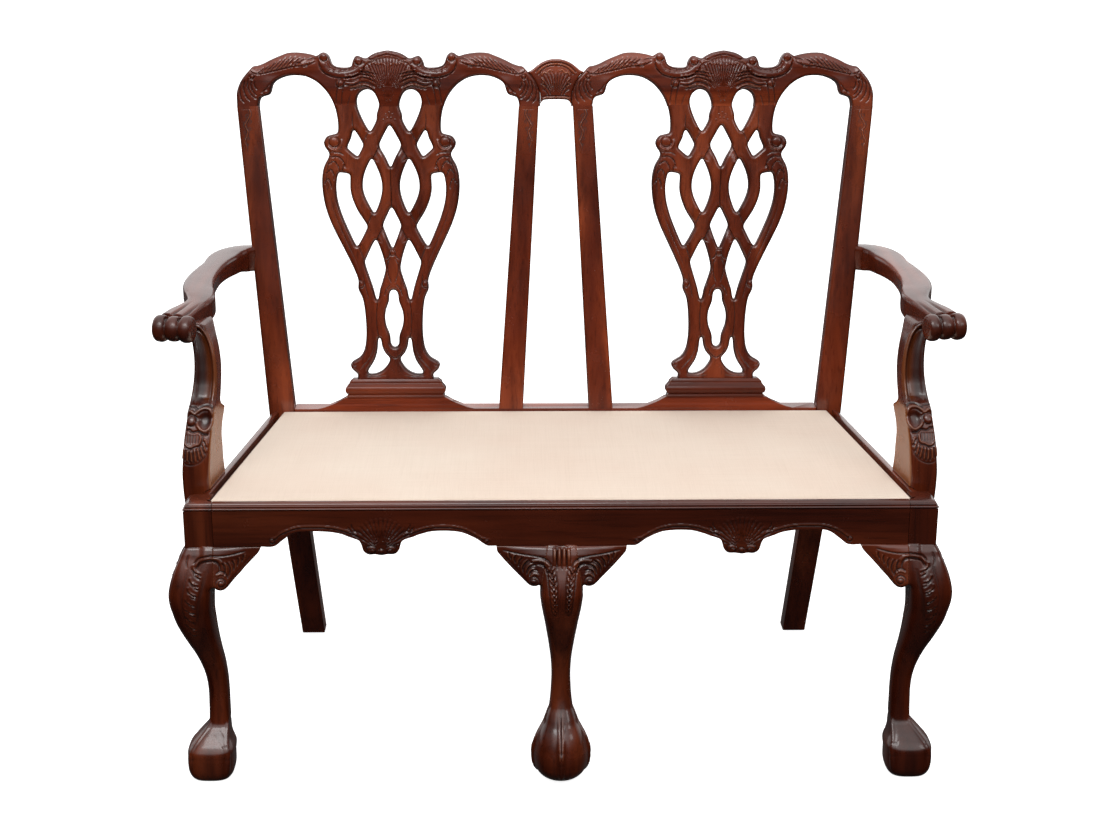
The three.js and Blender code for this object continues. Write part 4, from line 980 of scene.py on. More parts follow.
# ------------------------------------------------------------------ splats
def carve_splat(c):
    # straps that pass under drop away beyond the edge of the strap on top
    c.step([(32.8, 459.9), (44.9, 437.9)], 14, 2.8, side=1)
    c.step([(17.6, 437.1), (30.6, 413.1)], 14, 2.8, side=-1)
    c.step([(58, 270), (46.8, 241.1)], 13, 2.6, side=-1)
    c.groove([(27, 179), (29.5, 150), (28, 125), (25.4, 114)], 1.3, 1.6, taper=0.0)
    c.groove([(59.4, 460.5), (60.8, 474), (60.6, 490)], 1.3, 1.2, taper=(0, 0.3))
    # side scroll with its leaf
    c.dome((92.0, 441.6), 8.4, 3.6, rim=1.0)
    c.ridge([(79.5, 446), (79.8, 438.6), (83.6, 432), (90.4, 428.8), (98, 429.8), (103.4, 434.6)], 2.0, 2.0, taper=0.25, wear=1.5)
    c.groove([(76, 420), (84, 424), (93, 424.5), (101, 425)], 1.2, 1.2)
    for a in ([(99, 416.5), (88, 417.5), (79, 411.5), (74, 398)], [(103, 405), (93, 409.5), (86.5, 401.5), (84.5, 391)], [(107, 389.5), (99, 396), (94, 388), (94, 378)],
              [(110.5, 372), (104, 381), (99.5, 373), (98.5, 364)], [(76, 405), (79, 398), (80, 390.5)]):
        c.groove(a, 1.6, 1.9, taper=(0.05, 0.3))
    c.groove([(101, 412), (105, 395), (106.4, 374), (104.5, 352)], 1.1, 1.0, taper=(0.1, 0.4))
    # long narrowing groove down the outer strap
    c.groove([(101, 352), (94.5, 325), (84, 297), (72, 269), (62, 246), (56, 226)], 1.1, 0.7, taper=(0.3, 0.3), cav=0.5)
    # knob on the lower side
    c.dome((55.2, 205.5), 6.4, 3.4)
    c.groove([(50, 228), (49, 214), (46, 200), (42, 182)], 1.2, 1.1)
    # leaf at the knot
    for a in ([(4, 250), (9, 238), (8, 222), (3, 208)], [(10, 226), (16, 214), (19, 200)], [(13, 236), (20, 246), (24, 262)], [(5, 205), (12, 196), (15, 186)],
              [(2, 262), (6, 252), (12, 246)]):
        c.groove(a, 1.3, 1.5)
    # feet: flare ending in a small scroll, and the strap along the base
    c.groove([(44.5, 112), (47.5, 96), (55, 84), (66, 77), (71.5, 71.5), (69, 66.5), (65, 68.5)], 1.2, 1.2, taper=(0.3, 0.1))
    c.groove([(33, 112), (36, 95), (43, 80), (53, 68), (60, 60)], 1.1, 0.9)
    c.groove([(15, 50), (30, 49.4), (52, 49.6)], 1.0, 0.7)
    c.groove([(63, 300), (50, 270), (45, 262)], 0.9, 0.0)


def splat():
    us, ss = lines(-117, 117, 1.05), np.concatenate([lines(45.0, JOINT_S - 0.2, 1.05), [JOINT_S, JOINT_S + 2.5]])
    P, T = plate(UNIT, us, ss, (0.35, 1.2, 3.0, 5.0), reach=12, clips=((1, 45.3, True), (1, JOINT_S + 2.4, False)))
    u, s, d = P.T
    c = Carve(u, s)
    both(c, carve_splat)
    # the two lower crossings go over and under the other way, so mirrored sides differ
    for sg in (1, -1):
        c.u = u * sg
        c.step([(29, 325.4), (42.2, 300)], 14, 2.8, side=1)
        c.step([(14.9, 302.7), (27.8, 278.8)], 14, 2.8, side=-1)
    c.u = u
    c.groove([(0, 401.4), (0.4, 380), (-0.4, 355), (0, 332.7)], 1.4, 2.0, taper=0.0)
    c.groove([(-16, 97), (-9, 86), (0, 80.5), (9, 86), (16, 97)], 1.3, 1.8, taper=0.05)
    c.dome((0, 258), 5.0, 1.6)
    for x, z in ((-5.4, 487), (0, 489.6), (5.4, 487), (-9.6, 478), (9.6, 478), (-3, 481), (3, 481)):
        c.dome((x, z), 1.5, 0.8, rim=0.2, cav=0.3)
    c.cav *= 0.62
    # painted shade along the outline, where the rounded edge turns away from the light
    c.cav = np.maximum(c.cav, 0.95 * np.exp(-(d / 2.7) ** 2))
    n = round_edge(d, 6.5) * 0.8 + 0.85 * c.h * smooth(d / 1.6)
    n = np.maximum(n, -8.5) - SPLAT_SET + 1.2 * np.exp(-((d - 5) / 5.0) ** 2) * 0.25
    Q, g = relief_solid(P, T, n, -SPLAT_SET - SPLAT_T)
    return place_unit(Q), g, c.cav


P, g, cav = splat()
make_pair("splat_openwork", P, g, M_SPLAT, ["splat"], cav)

# ------------------------------------------------------------------ link between the crests
LINK_RIGHT = [(0, 577), (8, 576.6), (16, 574.6), (24, 571), (32, 565.5), (40, 559), (46.5, 556.2)]
LINK_SHOULDER = [(46, 556.2), (39.8, 550), (33.8, 541), (28.8, 530), (25.6, 520), (25.4, 503), (25.2, 501), (24.2, 506), (20.6, 509.8), (13, 511.1), (5, 511.3), (0, 511.3)]


def link():
    pts = LINK_RIGHT[:-1] + [LINK_SHOULDER[0], LINK_SHOULDER[0]] + LINK_SHOULDER[1:6] + [LINK_SHOULDER[6], LINK_SHOULDER[6]] + LINK_SHOULDER[7:]
    left = [(-u, s) for u, s in pts[1:-1]][::-1]
    L = curve(pts + left, 1.0, True)
    P, T = plate([L], lines(-48, 48, 0.8), lines(499, 579, 0.8), (0.3, 1.1, 2.6), reach=12)
    u, s, d = P.T
    c = Carve(u, s)

    def f(c):
        c.groove([(0, 571.4), (12, 570), (24, 564.5), (34, 555)], 1.2, 1.6, taper=(0, 0.15))
        c.groove([(0, 566.6), (11, 565.2), (21, 560), (29, 551)], 1.0, 1.2, taper=(0, 0.15))
        c.ridge([(0, 569), (12, 567.6), (23, 562), (31.6, 553)], 1.5, 1.2, taper=(0, 0.15), wear=1.0)
        c.ridge([(5, 557), (11, 559), (15, 554.6), (20, 555), (23.6, 549)], 1.5, 1.4, taper=0.15, wear=1.2)
        c.ridge([(24, 545), (19.6, 541), (22, 535), (17, 530)], 1.4, 1.3, taper=0.15, wear=1.1)
        c.groove([(25.4, 538), (17, 533), (10.6, 525), (7.6, 517)], 1.3, 1.2)
        c.groove([(22, 528), (16, 523.6), (12.4, 517)], 1.2, 1.0)
        c.ridge([(0, 514.4), (8, 514.4), (17, 514), (23, 511.4)], 1.6, 1.2, taper=(0, 0.1), wear=1.0)
        c.groove([(0, 517.2), (8, 517.2), (17, 516.8), (24, 514.4)], 1.0, 1.2, taper=(0, 0.1))
    both(c, f)
    c.fan((0, 512), 10, 44, 52, 128, 9, depth=1.0, height=0.4, edge=5)
    c.cav *= 0.7
    n = -0.5 + round_edge(d, 2.8) + c.h * smooth(d / 1.6) + 1.6 * np.exp(-((u / 26) ** 2 + ((s - 542) / 24) ** 2))
    Q, g = relief_solid(P, T, n, -24.0)
    return back(Q[:, 0], Q[:, 1], Q[:, 2]), g, c.cav


P, g, cav = link()
make("crest_link_piece", P, g, M_CREST, nodes=["crest_link"], cav=cav)


# ------------------------------------------------------------------ rear posts and inner stiles
def post():
    rings = []
    def leg(z):
        f = max(0.0, (RAIL_BOTTOM - z) / (RAIL_BOTTOM + 6))
        y0, dd = BACK_Y + 86.5 * f ** 1.15, 37.5 - 0.5 * f
        xc = 464.75 - 0.0655 * (BACK_Z - z)
        w = 21.75 - 1.75 * min(1, (BACK_Z - z) / 456)
        return [(xc - w, y0, z), (xc + w, y0, z), (xc + w, y0 + dd, z), (xc - w, y0 + dd, z)]
    for s in [502.6, 500.4, 500.1, 499.9] + list(np.linspace(499.0, 0, 40)):
        t, e = 32 - 0.01 * s, (1.2 if s > 501 else 0.25 if s > 500.2 else 0.0)
        a, b = 443 + 0.097 * s + e, 486.5 + 0.0808 * s - e
        rings.append(round_ring([back(a, s, -e), back(b, s, -e), back(b, s, -t + 4 * e), back(a, s, -t + 4 * e)], [4.5, 4.5, 2.5, 2.5], 5))
    z0 = 446.0
    for z in np.linspace(RAIL_BOTTOM, -6, 36):
        rings.append(round_ring(leg(z), 2.6, 5))
    return loft(rings)


def top_leaf(corners, place):
    """small curled leaves worked on the face of an upright, hanging from the end of the crest rail"""
    L = curve([q for q in corners for _ in (0, 1)], 1.0, True)
    us = [q[0] for q in corners]
    P, T = plate([L], lines(min(us) - 4, max(us) + 4, 0.7), lines(414, 500, 0.7), (0.3,), reach=8)
    u, s, d = P.T
    c = Carve(u, s)

    def m(pts):
        return [(place(x), z) for x, z in pts]
    stem = [(508, 499), (504.6, 487), (509.6, 477), (513.6, 468), (509.4, 459), (511.4, 450), (514.8, 442), (512.2, 433), (513.4, 424)]
    for off in (1.9, -1.9):
        c.groove(m([(x + off, z) for x, z in stem]), 1.2, 1.1, taper=(0, 0.3), cav=0.85)
    c.ridge(m(stem), 1.6, 0.7, taper=(0, 0.3), wear=0.2)
    for x, z, r, sd in ((507.6, 484, 5.0, 1), (507.6, 475, 4.6, -1), (515, 472, 3.6, 1), (508, 463, 3.8, -1), (513.4, 457, 3.4, 1), (509.8, 447, 3.2, -1), (515.4, 446, 2.2, 1), (511.4, 437, 2.6, -1)):
        c.groove(m([(x, z + 0.8 * r), (x + sd * 0.9 * r, z + 0.3 * r), (x + sd * 0.9 * r, z - 0.7 * r)]), 1.4, 1.1, taper=(0.1, 0.35), cav=0.85)
        c.groove(m([(x, z + 0.1 * r), (x + sd * 0.45 * r, z - 0.3 * r), (x + sd * 0.4 * r, z - 1.0 * r)]), 1.1, 0.8, taper=(0.1, 0.35), cav=0.7)
    edge = smooth(d / 2.4)
    n = -0.65 + edge * (0.71 + np.clip(c.h, -0.03, 1.2))
    c.cav *= edge
    Q, g = relief_solid(P, T, n, -3.0)
    return back(Q[:, 0], Q[:, 1], Q[:, 2]), g, c.cav


P, g = post()
P2, g2, cav = top_leaf([(495, 496.5), (521.6, 496.5), (515.8, 418), (498, 418)], lambda x: x)
worked = np.zeros(len(P2))
worked[:len(cav)] = cav
shade = 0.12 * smooth((P[:, 2] - 560.0) / 80.0) + 0.14 * np.exp(-((P[:, 2] - 700.0) / 130.0) ** 2)
PJ, gJ = join((P2, g2), (P, g))
make_pair("back_post", PJ, gJ, M_POST, ["rear_post"], np.concatenate([worked, shade]))


def stile():
    rings = []
    for s in [502.6, 500.4, 500.1, 499.9] + list(np.linspace(499.0, -6, 40)):
        t, e = (500 - s) / 512, (1.2 if s > 501 else 0.25 if s > 500.2 else 0.0)
        a, b = 28.5 + (56 - 28.5) * t + e, 61.5 + (97 - 61.5) * t - e
        rings.append(round_ring([back(a, s, -e), back(b, s, -e), back(b, s, -28 + 4 * e), back(a, s, -28 + 4 * e)], [4.0, 4.0, 2.5, 2.5], 5))
    return loft(rings)


P, g = stile()
P2, g2, cav = top_leaf([(33.4, 496.5), (56.6, 496.5), (60, 418), (37.2, 418)], lambda x: 554.4 - x)
PJ, gJ = join((P2, g2), (P, g))
make_pair("inner_stile_piece", PJ, gJ, M_POST, ["inner_stile"], cav)


# ------------------------------------------------------------------ splat shoes
def shoe():
    front = curve([(14.2, 2.8), (16.6, 3.4), (17.4, 3.0), (17.4, 3.0), (19.6, 1.6), (19.6, 1.6), (21.4, 4.2), (26, 6), (31, 5.4), (35, 3.2), (37.4, 1.8), (37.4, 1.8), (38.6, 1.4), (40.6, 1.4), (41.0, 1.0), (45, -0.6)], 0.5)
    wide = curve([(14.2, 82), (16.6, 82.6), (17.4, 82.2), (17.4, 82.2), (19.6, 79.8), (19.6, 79.8), (21.4, 82.6), (26, 84.5), (31, 83.6), (35, 80.4), (37.4, 78.4), (37.4, 78.4), (38.6, 78), (40.6, 77.6), (41.0, 77), (45, 72.2)], 0.5)
    rings = []
    for s in np.unique(np.concatenate([lines(14.2, 45, 0.6), [17.4, 19.6, 37.4]])):
        n = np.interp(s, front[:, 0], front[:, 1])
        w = np.interp(s, wide[:, 0], wide[:, 1])
        x0 = UNIT_X0 + UNIT_DX * s
        c = [(x0 - w, s, -27.0), (x0 - w, s, n), (x0 + w, s, n), (x0 + w, s, -27.0)]
        r = round_ring(c, [1.0, 2.2, 2.2, 1.0], 5)
        rings.append(back(r[:, 0], r[:, 1], r[:, 2]))
    return loft(rings)


P, g = shoe()
make_pair("shoe_moulding", P, g, M_SHOE, ["splat_shoe"], angle=28)


# ------------------------------------------------------------------ copies of plain CAD timbers with eased edges
def eased(node, name, material, r=1.2, segments=2):
    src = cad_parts[node]
    me = src.data.copy()
    me.name = name
    me.materials.clear()
    me.materials.append(material)
    ob = bpy.data.objects.new(name, me)
    bpy.context.scene.collection.objects.link(ob)
    import bmesh
    bm = bmesh.new()
    bm.from_mesh(me)
    bmesh.ops.remove_doubles(bm, verts=bm.verts, dist=1e-6)
    bmesh.ops.dissolve_limit(bm, angle_limit=math.radians(0.4), verts=bm.verts, edges=bm.edges)
    bm.to_mesh(me)
    bm.free()
    mod = ob.modifiers.new("ease", "BEVEL")
    mod.width = r * 0.001
    mod.segments = segments
    mod.limit_method = "ANGLE"
    mod.angle_limit = math.radians(28)
    mod.harden_normals = False
    me.polygons.foreach_set("use_smooth", np.ones(len(me.polygons), bool))
    me.set_sharp_from_angle(angle=math.radians(40))
    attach(ob, "frame")
    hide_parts(node)
    return ob


eased("rear_seat_rail", "rear_rail", M_REAR)

# ------------------------------------------------------------------ seat rails
MOULD = curve([(427.2, 0.0), (427.6, 1.5), (427.6, 1.5), (428.8, 1.5), (429.4, 0.2), (430.2, -0.7), (431.2, -0.5), (432.0, 0.5), (432.6, 2.2), (432.6, 2.2), (434.2, 2.4), (434.2, 2.4), (434.6, 1.5), (434.6, 1.5),
               (435.6, 3.2), (435.6, 3.2), (436.6, 3.5), (438.2, 4.8), (439.4, 7.2), (440.0, 10.0)], 0.25)


def mould(z):
    """how far the moulded face lies behind the upright face"""
    return np.where(z < 427.3, 0.0, np.interp(z, MOULD[:, 0], MOULD[:, 1]))


def side_rail():
    ks = np.concatenate([[372.0, 373.2], lines(375, 426.5, 6), MOULD[1:, 0]])
    sec = [(float(mould(z)) + (1.2 if z == 372.0 else 0.0), z) for z in ks]
    sec += [(11.0, 440.0), (13.4, 440.0), (14.2, 439.2), (14.2, 412.0), (32.0, 412.0), (32.0, 373.2), (30.8, 372.0)]
    ca, sa = math.cos(math.atan(SIDE_DX)), math.sin(math.atan(SIDE_DX))
    rings = []
    for y in lines(42.6, 450.2, 12):
        x0 = SIDE_X0 - SIDE_DX * y
        rings.append([(x0 - a / ca, y, z) for a, z in sec])
    R = np.array(rings)
    # the ledge follows the seat's edge
    n, m = R.shape[:2]
    P = R.reshape(-1, 3)
    i, j = np.meshgrid(np.arange(n - 1), np.arange(m), indexing="ij")
    a, b = (i * m + j).ravel(), (i * m + (j + 1) % m).ravel()
    Q = np.stack([a, b, b + m, a + m], 1)
    # flat ends by the outline's own triangles
    s2 = [Vector(p) for p in sec]
    out = delaunay_2d_cdt(s2, [(k, (k + 1) % m) for k in range(m)], [], 1, 1e-6)
    F = np.array([[out[3][v][0] for v in f] for f in out[2] if len(f) == 3])
    cen = np.array([[sum(sec[v][0] for v in f) / 3, sum(sec[v][1] for v in f) / 3] for f in F])
    F = F[inside_loops(cen, [np.array(sec)])]
    v = np.array(sec)[F]
    area = (v[:, 1, 0] - v[:, 0, 0]) * (v[:, 2, 1] - v[:, 0, 1]) - (v[:, 1, 1] - v[:, 0, 1]) * (v[:, 2, 0] - v[:, 0, 0])
    F = np.where((area > 0)[:, None], F, F[:, ::-1])
    groups = [Q, F[:, ::-1], F + (n - 1) * m]
    if volume(P, groups) < 0:
        groups = [x[:, ::-1] for x in groups]
    # ends must face outward too
    return P, groups


P, g = side_rail()
make_pair("side_rail", P, g, M_SIDE, ["side_seat_rail"], angle=30)

RAIL_EDGE = [(514.3, 372), (443, 372), (430, 371.6), (423, 373.5), (415, 380), (408, 385.5), (400, 391.5), (391, 395), (375, 396), (345, 395), (332, 393),
    (324, 391), (316, 387.5), (308, 384.5), (300, 381), (297, 376), (293, 364), (286, 359), (276, 359.4), (268, 358), (258, 359.4), (247, 360), (241, 366), (236, 380), (228, 384),
    (220, 386.5), (213, 389.5), (205, 392), (198, 394), (190, 395.4), (176, 396), (161, 395.4), (149, 393.6), (140, 390.4), (131, 386), (124, 382), (117, 376.6), (110, 372.4), (98, 372)]


def rail_loop():
    r = [(514.3, 440), (514.3, 440), (514.3, 372), (514.3, 372), (443, 372), (443, 372)] + RAIL_EDGE[2:-1] + [(98, 372), (98, 372), (0, 372)]
    return curve(r + [(-x, z) for x, z in r[:-1]][::-1], 1.5, True)


def carve_rail(c):
    # bead that follows the arches
    for a in ([(431, 384.5), (424, 386), (416, 392.5), (402, 399.4), (389, 403), (369, 404.1), (339, 402.5), (320, 397.5), (306, 392), (299, 387)],
              [(236, 389), (226, 392.5), (212, 398), (196, 402.5), (176, 404.2), (158, 403), (142, 398.6), (128, 391), (116, 384), (104, 381)]):
        c.ridge(a, 2.0, 1.0, taper=0.05, wear=0.5)
        b = [(x, z - 3.2) for x, z in a]
        c.groove(b, 1.1, 0.6, taper=0.05, cav=0.5)
    c.dome((427.5, 380.5), 3.6, 1.5)
    c.dome((112, 379), 3.6, 1.5)
    # shell
    c.fan((267, 366), 9, 52, 20, 160, 15, depth=1.1, height=0.5, squash=0.92, edge=7.0)
    for k in range(15):
        g = math.radians(20 + (k + 0.5) * 140 / 15)
        c.dome((267 + 0.92 * 48.5 * math.cos(g), 366 + 48.5 * math.sin(g)), 2.7, 0.4, rim=0.1, cav=0.2)
    c.dome((281.6, 366.4), 7.0, 2.8)
    c.dome((252.4, 366.4), 7.0, 2.8)
    c.groove([(276, 362), (279, 368), (284, 367), (283, 363)], 1.0, 1.1)
    c.groove([(258, 362), (255, 368), (250, 367), (251, 363)], 1.0, 1.1)
    c.dome((267, 364), 4.2, 1.6)
    c.groove([(300, 386), (309, 393), (316, 403)], 1.2, 1.3)
    c.groove([(234, 386), (225, 393), (218, 403)], 1.2, 1.3)
    c.groove([(303, 394), (309, 401), (311, 408)], 1.2, 1.1)
    c.groove([(231, 394), (225, 401), (223, 408)], 1.2, 1.1)


def front_rail():
    L = rail_loop()
    ss = np.unique(np.concatenate([lines(355, 426.5, 1.25), MOULD[:, 0]]))
    P, T = plate([L], lines(-515.5, 515.5, 1.66), ss, (0.3, 1.0), reach=10, clips=((1, 439.99, False),))
    x, z, d = P.T
    c = Carve(x, z)
    both(c, carve_rail)
    dd = np.where(z > 425, 9.0, np.where(np.abs(x) > 505, 9.0, d))
    n = -mould(z) + round_edge(dd, 1.0) + c.h * smooth(dd / 1.4)
    shell = np.exp(-(((np.abs(x) - 267) / 26) ** 2 + ((z - 382) / 24) ** 2) ** 2)
    n += 1.6 * shell
    Q, g = relief_solid(P, T, n, -11.4)
    core, T2 = plate([L], lines(-514.3, 514.3, 6.0), np.concatenate([lines(356, 411.8, 4.0), [416.0]]), (), reach=10, clips=((1, 411.8, False),))
    keep = np.full(len(core), -11.4)
    Q2, g2 = relief_solid(core, T2, keep, -34.0)
    A = np.stack([Q[:, 0], -Q[:, 2], Q[:, 1]], 1)
    B = np.stack([Q2[:, 0], -Q2[:, 2], Q2[:, 1]], 1)
    return (*join((A, g), (B, g2)), c.cav)


P, g, cav = front_rail()
make("front_rail", P, g, M_RAIL, nodes=["front_seat_rail"], cav=cav, angle=30)


# ------------------------------------------------------------------ legs
LEG = [
  [374, 8.5, 41.4, 9], [372, 8.5, 41.8, 9], [360, 13.4, 47, 7], [350, 17.5, 52, 6], [337, 21.5, 58, 5], [325, 25, 62, 4.2], [312, 28, 65, 3.8], [301, 29.8, 66, 3.6], [285, 30, 64.5, 3.4],
  [269, 28, 61, 3.2], [251, 24.2, 58, 3], [233, 18.8, 53, 2.8], [215, 12.4, 47.3, 2.7], [196, 5, 41.5, 2.6], [177, -1.5, 37.5, 2.5], [159, -6, 34.4, 2.4],
  [141, -8.8, 32.6, 2.3], [123, -10, 32, 2.2], [106, -10, 32, 2.4], [92, -10, 32, 2.8], [82, -9.6, 32, 3.2], [74, -7.6, 32, 3.2], [67, -3.6, 32, 3.0], [60, 0.8, 33, 3], [52, 4.4, 34, 2.6], [44, 6.4, 34, 2.2], [8, 8.6, 30, 2.2], [-6, 8.6, 30, 2.2]]
LEG_MID = [
  [374, 0, 41.4, 9], [372, 0, 41.8, 9], [360, 5, 45, 7], [350, 9, 49, 6], [337, 13, 54, 5], [325, 16.5, 58.6, 4.2], [312, 19.5, 62.6, 3.8], [301, 21.3, 64.6, 3.6], [285, 21.5, 61.6, 3.4],
  [269, 20, 56.6, 3.2], [252, 17.5, 50.5, 3], [235, 13, 45.5, 2.8], [220, 9, 41, 2.7], [203, 4.5, 36.5, 2.6], [187, 1, 32.6, 2.5], [170, -1, 30, 2.4],
  [154, -2, 29, 2.3], [137, -2, 30.2, 2.2], [120, 0, 32.4, 2.2], [104, 4, 36.4, 2.2], [88, 9, 42, 2.2], [72, 14, 46, 2.2], [56, 18, 44, 2.2], [30, 21.5, 34, 2.2], [-6, 21.5, 30, 2.2]]
# claw: height, reach of its middle line from the foot's middle, radius
CLAW = [(104, 9.0, 2.4), (94, 12.4, 2.6), (84, 15.0, 2.7), (76, 17.6, 2.8), (70, 20.8, 2.9), (64, 24.6, 3.1), (57, 29.2, 3.3), (50, 33.8, 3.6), (44, 37.2, 3.9),
        (35, 38.8, 4.2), (25, 39.4, 4.0), (15, 38.6, 3.4), (8, 36.4, 2.8), (3, 33.8, 1.6)]
CLAW_MID = [(112, 5.0, 4.0), (98, 11.0, 4.2), (86, 18.0, 4.8), (70, 27.4, 5.2), (60, 33.4, 5.6), (53, 36.8, 5.6), (44, 39.8, 5.8), (36, 40.6, 5.6), (27, 41.0, 5.0),
            (18, 40.6, 4.2), (10, 38.8, 3.0), (5, 36.4, 1.6)]
WEB = table([(125, 11.0), (97, 12.2), (92, 12.4), (86, 12.6), (82, 13.0), (78, 14.2), (74, 16.0), (70, 18.4), (66, 20.8), (62, 23.2), (57, 26.2), (52, 29.2), (47, 32.0), (43, 34.0), (36, 35.6)], 0.5)
WEB_MID = table([(125, 9.0), (110, 11.6), (103, 13.8), (95, 18.0), (86, 23.2), (78, 28.2), (70, 32.6), (60, 36.2), (53, 38.0), (46, 39.3), (40, 40.0), (33, 39.6), (26, 38.0), (20, 35.0)], 0.5)


def leg_field(rows, base, direction, shift, mid):
    tab = table(rows)
    dx, dy = direction
    claws = CLAW_MID if mid else CLAW
    web, web_p, lip = (WEB_MID, 2.2, 20.0) if mid else (WEB, 4.2, 36.0)
    rb, pb, zc, hb, pz = (40.8, 2.0, 24.0, 33.0, 2.3) if mid else (36.0, 3.0, 22.0, 34.0, 3.0)

    def f(x, y, z):
        d, w, p = tab(z)
        ys = shift * np.clip((150 - z) / 120, 0, 1)
        cx, cy = base[0] + dx * d, base[1] + dy * d + ys
        X, Y = x - cx, y - cy
        r = np.hypot(X, Y) + 1e-9
        c, s = np.abs(X) / r, np.abs(Y) / r
        body = r - (w / 2) / (c ** p + s ** p) ** (1 / p)
        k = z < 125
        out = body
        if k.any():
            zz = z[k]
            # the claws' own directions
            u = X[k] * dx + Y[k] * dy
            v = -X[k] * dy + Y[k] * dx
            a, b = np.maximum(np.abs(u), np.abs(v)), np.minimum(np.abs(u), np.abs(v))
            ax, ay = np.abs(X[k]), np.abs(Y[k])
            # smooth web between the claws, ending in a lip on the ball
            (hw,) = web(zz)
            on = smooth(((118 if mid else 98) - zz) / (24 if mid else 24))
            facet = smax((ax ** web_p + ay ** web_p) ** (1 / web_p) - hw, (lip - zz) * 0.9, 5.0 if mid else 9.0)
            # the ball, nearly as broad as the web
            rp = (ax ** pb + ay ** pb) ** (1 / pb)
            ball = (((rp / rb) ** pz + (np.abs(zz - zc) / hb) ** pz) ** (1 / pz) - 1) * rb
            claw = np.full(len(zz), 1e3)
            for (z0, q0, r0), (z1, q1, r1) in zip(claws[:-1], claws[1:]):
                ex, ez = q1 - q0, z1 - z0
                t = np.clip(((a - q0) * ex + (zz - z0) * ez) / (ex * ex + ez * ez), 0, 1)
                claw = np.minimum(claw, np.sqrt((a - q0 - t * ex) ** 2 + b * b * 1.1 + (zz - z0 - t * ez) ** 2) - (r0 + (r1 - r0) * t))
            foot = smin(smin(smin(body[k], facet + 3.0 * (1 - on), 0.05 + (4.0 + 8.0 * smooth((zz - 74) / 16) if mid else 2.6) * on), ball, 7.0 if mid else 6.0), claw + 3.0 * (1 - on), 0.05 + (5.0 if mid else 2.0) * on)
            foot = smax(foot, -6.0 - zz, 1.0)
            out = body.copy()
            out[k] = foot
        return smax(out, z - 371.8, 0.5)
    return f


def carve_foot(u, v, z, mid):
    """tendon lines down each claw and the creases at the knuckles; u, v are the claws' own directions"""
    a, b = np.maximum(np.abs(u), np.abs(v)), np.minimum(np.abs(u), np.abs(v))
    h = np.zeros(len(z))
    cav = np.zeros(len(z))
    on = smooth((z - 8) / 8) * smooth(((108 if mid else 90) - z) / (26 if mid else 12)) * smooth((a - 11) / 5)
    # painted shade in the tendon lines and the knuckle creases
    for q, w, dp in ((0.0, 1.3 if not mid else 1.1, 0.0 if not mid else 1.4), (6.6 if mid else 4.6, 1.2, 0.12 if not mid else 0.2)):
        g = np.exp(-((b - q) / w) ** 2) * on * (smooth((z - 40) / 12) if q == 0 else smooth((z - 22) / 10))
        h -= dp * g
        cav = np.maximum(cav, 0.6 * dp * g)
    for zk in (50, 31):
        g = np.exp(-((z - zk) / 1.6) ** 2) * (b < 5.5) * (a > 24)
        h -= 0.3 * g
        cav = np.maximum(cav, 0.2 * g)
    # painted shade where the web ends on the ball
    g = np.exp(-((z - 40.5) / 1.8) ** 2) * smooth((b - 5) / 3)
    cav = np.maximum(cav, (0.0 if mid else 0.12) * g)
    # painted highlight along the upper edge of the web on the corner feet
    if mid:
        g = np.exp(-((b - 2.2) / 0.8) ** 2) * on * (u > 0) * smooth((z - 30) / 15)
        cav -= 0.35 * g
    # painted shade: the ball darker than the leg above it, and on the corner feet the web darker too, dimming its sheen
    cav = cav + 0.22 * smooth((44 - z) / 10) + (0.0 if mid else 0.25) * smooth((z - 40) / 4) * smooth((80 - z) / 6)
    return h, cav


def grid_distance(points, lo, hi, h=0.5, reach=22.0):
    """signed distance to a closed outline, inside negative, read off a grid"""
    L = curve(points, 0.8, True)
    us, ss = lines(lo[0], hi[0], h), lines(lo[1], hi[1], h)
    D = -signed_distance(us, ss, [L], reach)

    def f(u, s):
        fu = np.clip((u - us[0]) / (us[1] - us[0]), 0, len(us) - 1.001)
        fs = np.clip((s - ss[0]) / (ss[1] - ss[0]), 0, len(ss) - 1.001)
        i, j = fu.astype(int), fs.astype(int)
        a, b = fu - i, fs - j
        return (D[j, i] * (1 - a) + D[j, i + 1] * a) * (1 - b) + (D[j + 1, i] * (1 - a) + D[j + 1, i + 1] * a) * b
    return f


def bracket_solid(outline, bulge, depth, lobe):
    """a bracket behind its face: outline in (w, z); n is measured out from the rail's face"""
    bb = np.array(sorted(bulge), float)

    def f(w, z, n):
        b = np.interp(w, bb[:, 0], bb[:, 1])
        face = 0.6 + b * np.interp(371.7 - z, [0, 2, 7, 12, 15, 22, 36, 50, 70], [0.04, 0.12, 0.25, 0.375, 0.43, 0.53, 0.74, 0.9, 1.0])
        face = face + 3.2 * np.exp(-((w - lobe[0]) ** 2 + (z - lobe[1]) ** 2) / 75.0)
        d = smax(outline(w, z), (n - face) * 0.85, 7.0 * np.clip(b / 12, 0.15, 1))
        return smax(smax(d, -depth - n, 1.0), z - 371.7, 0.4)
    return f


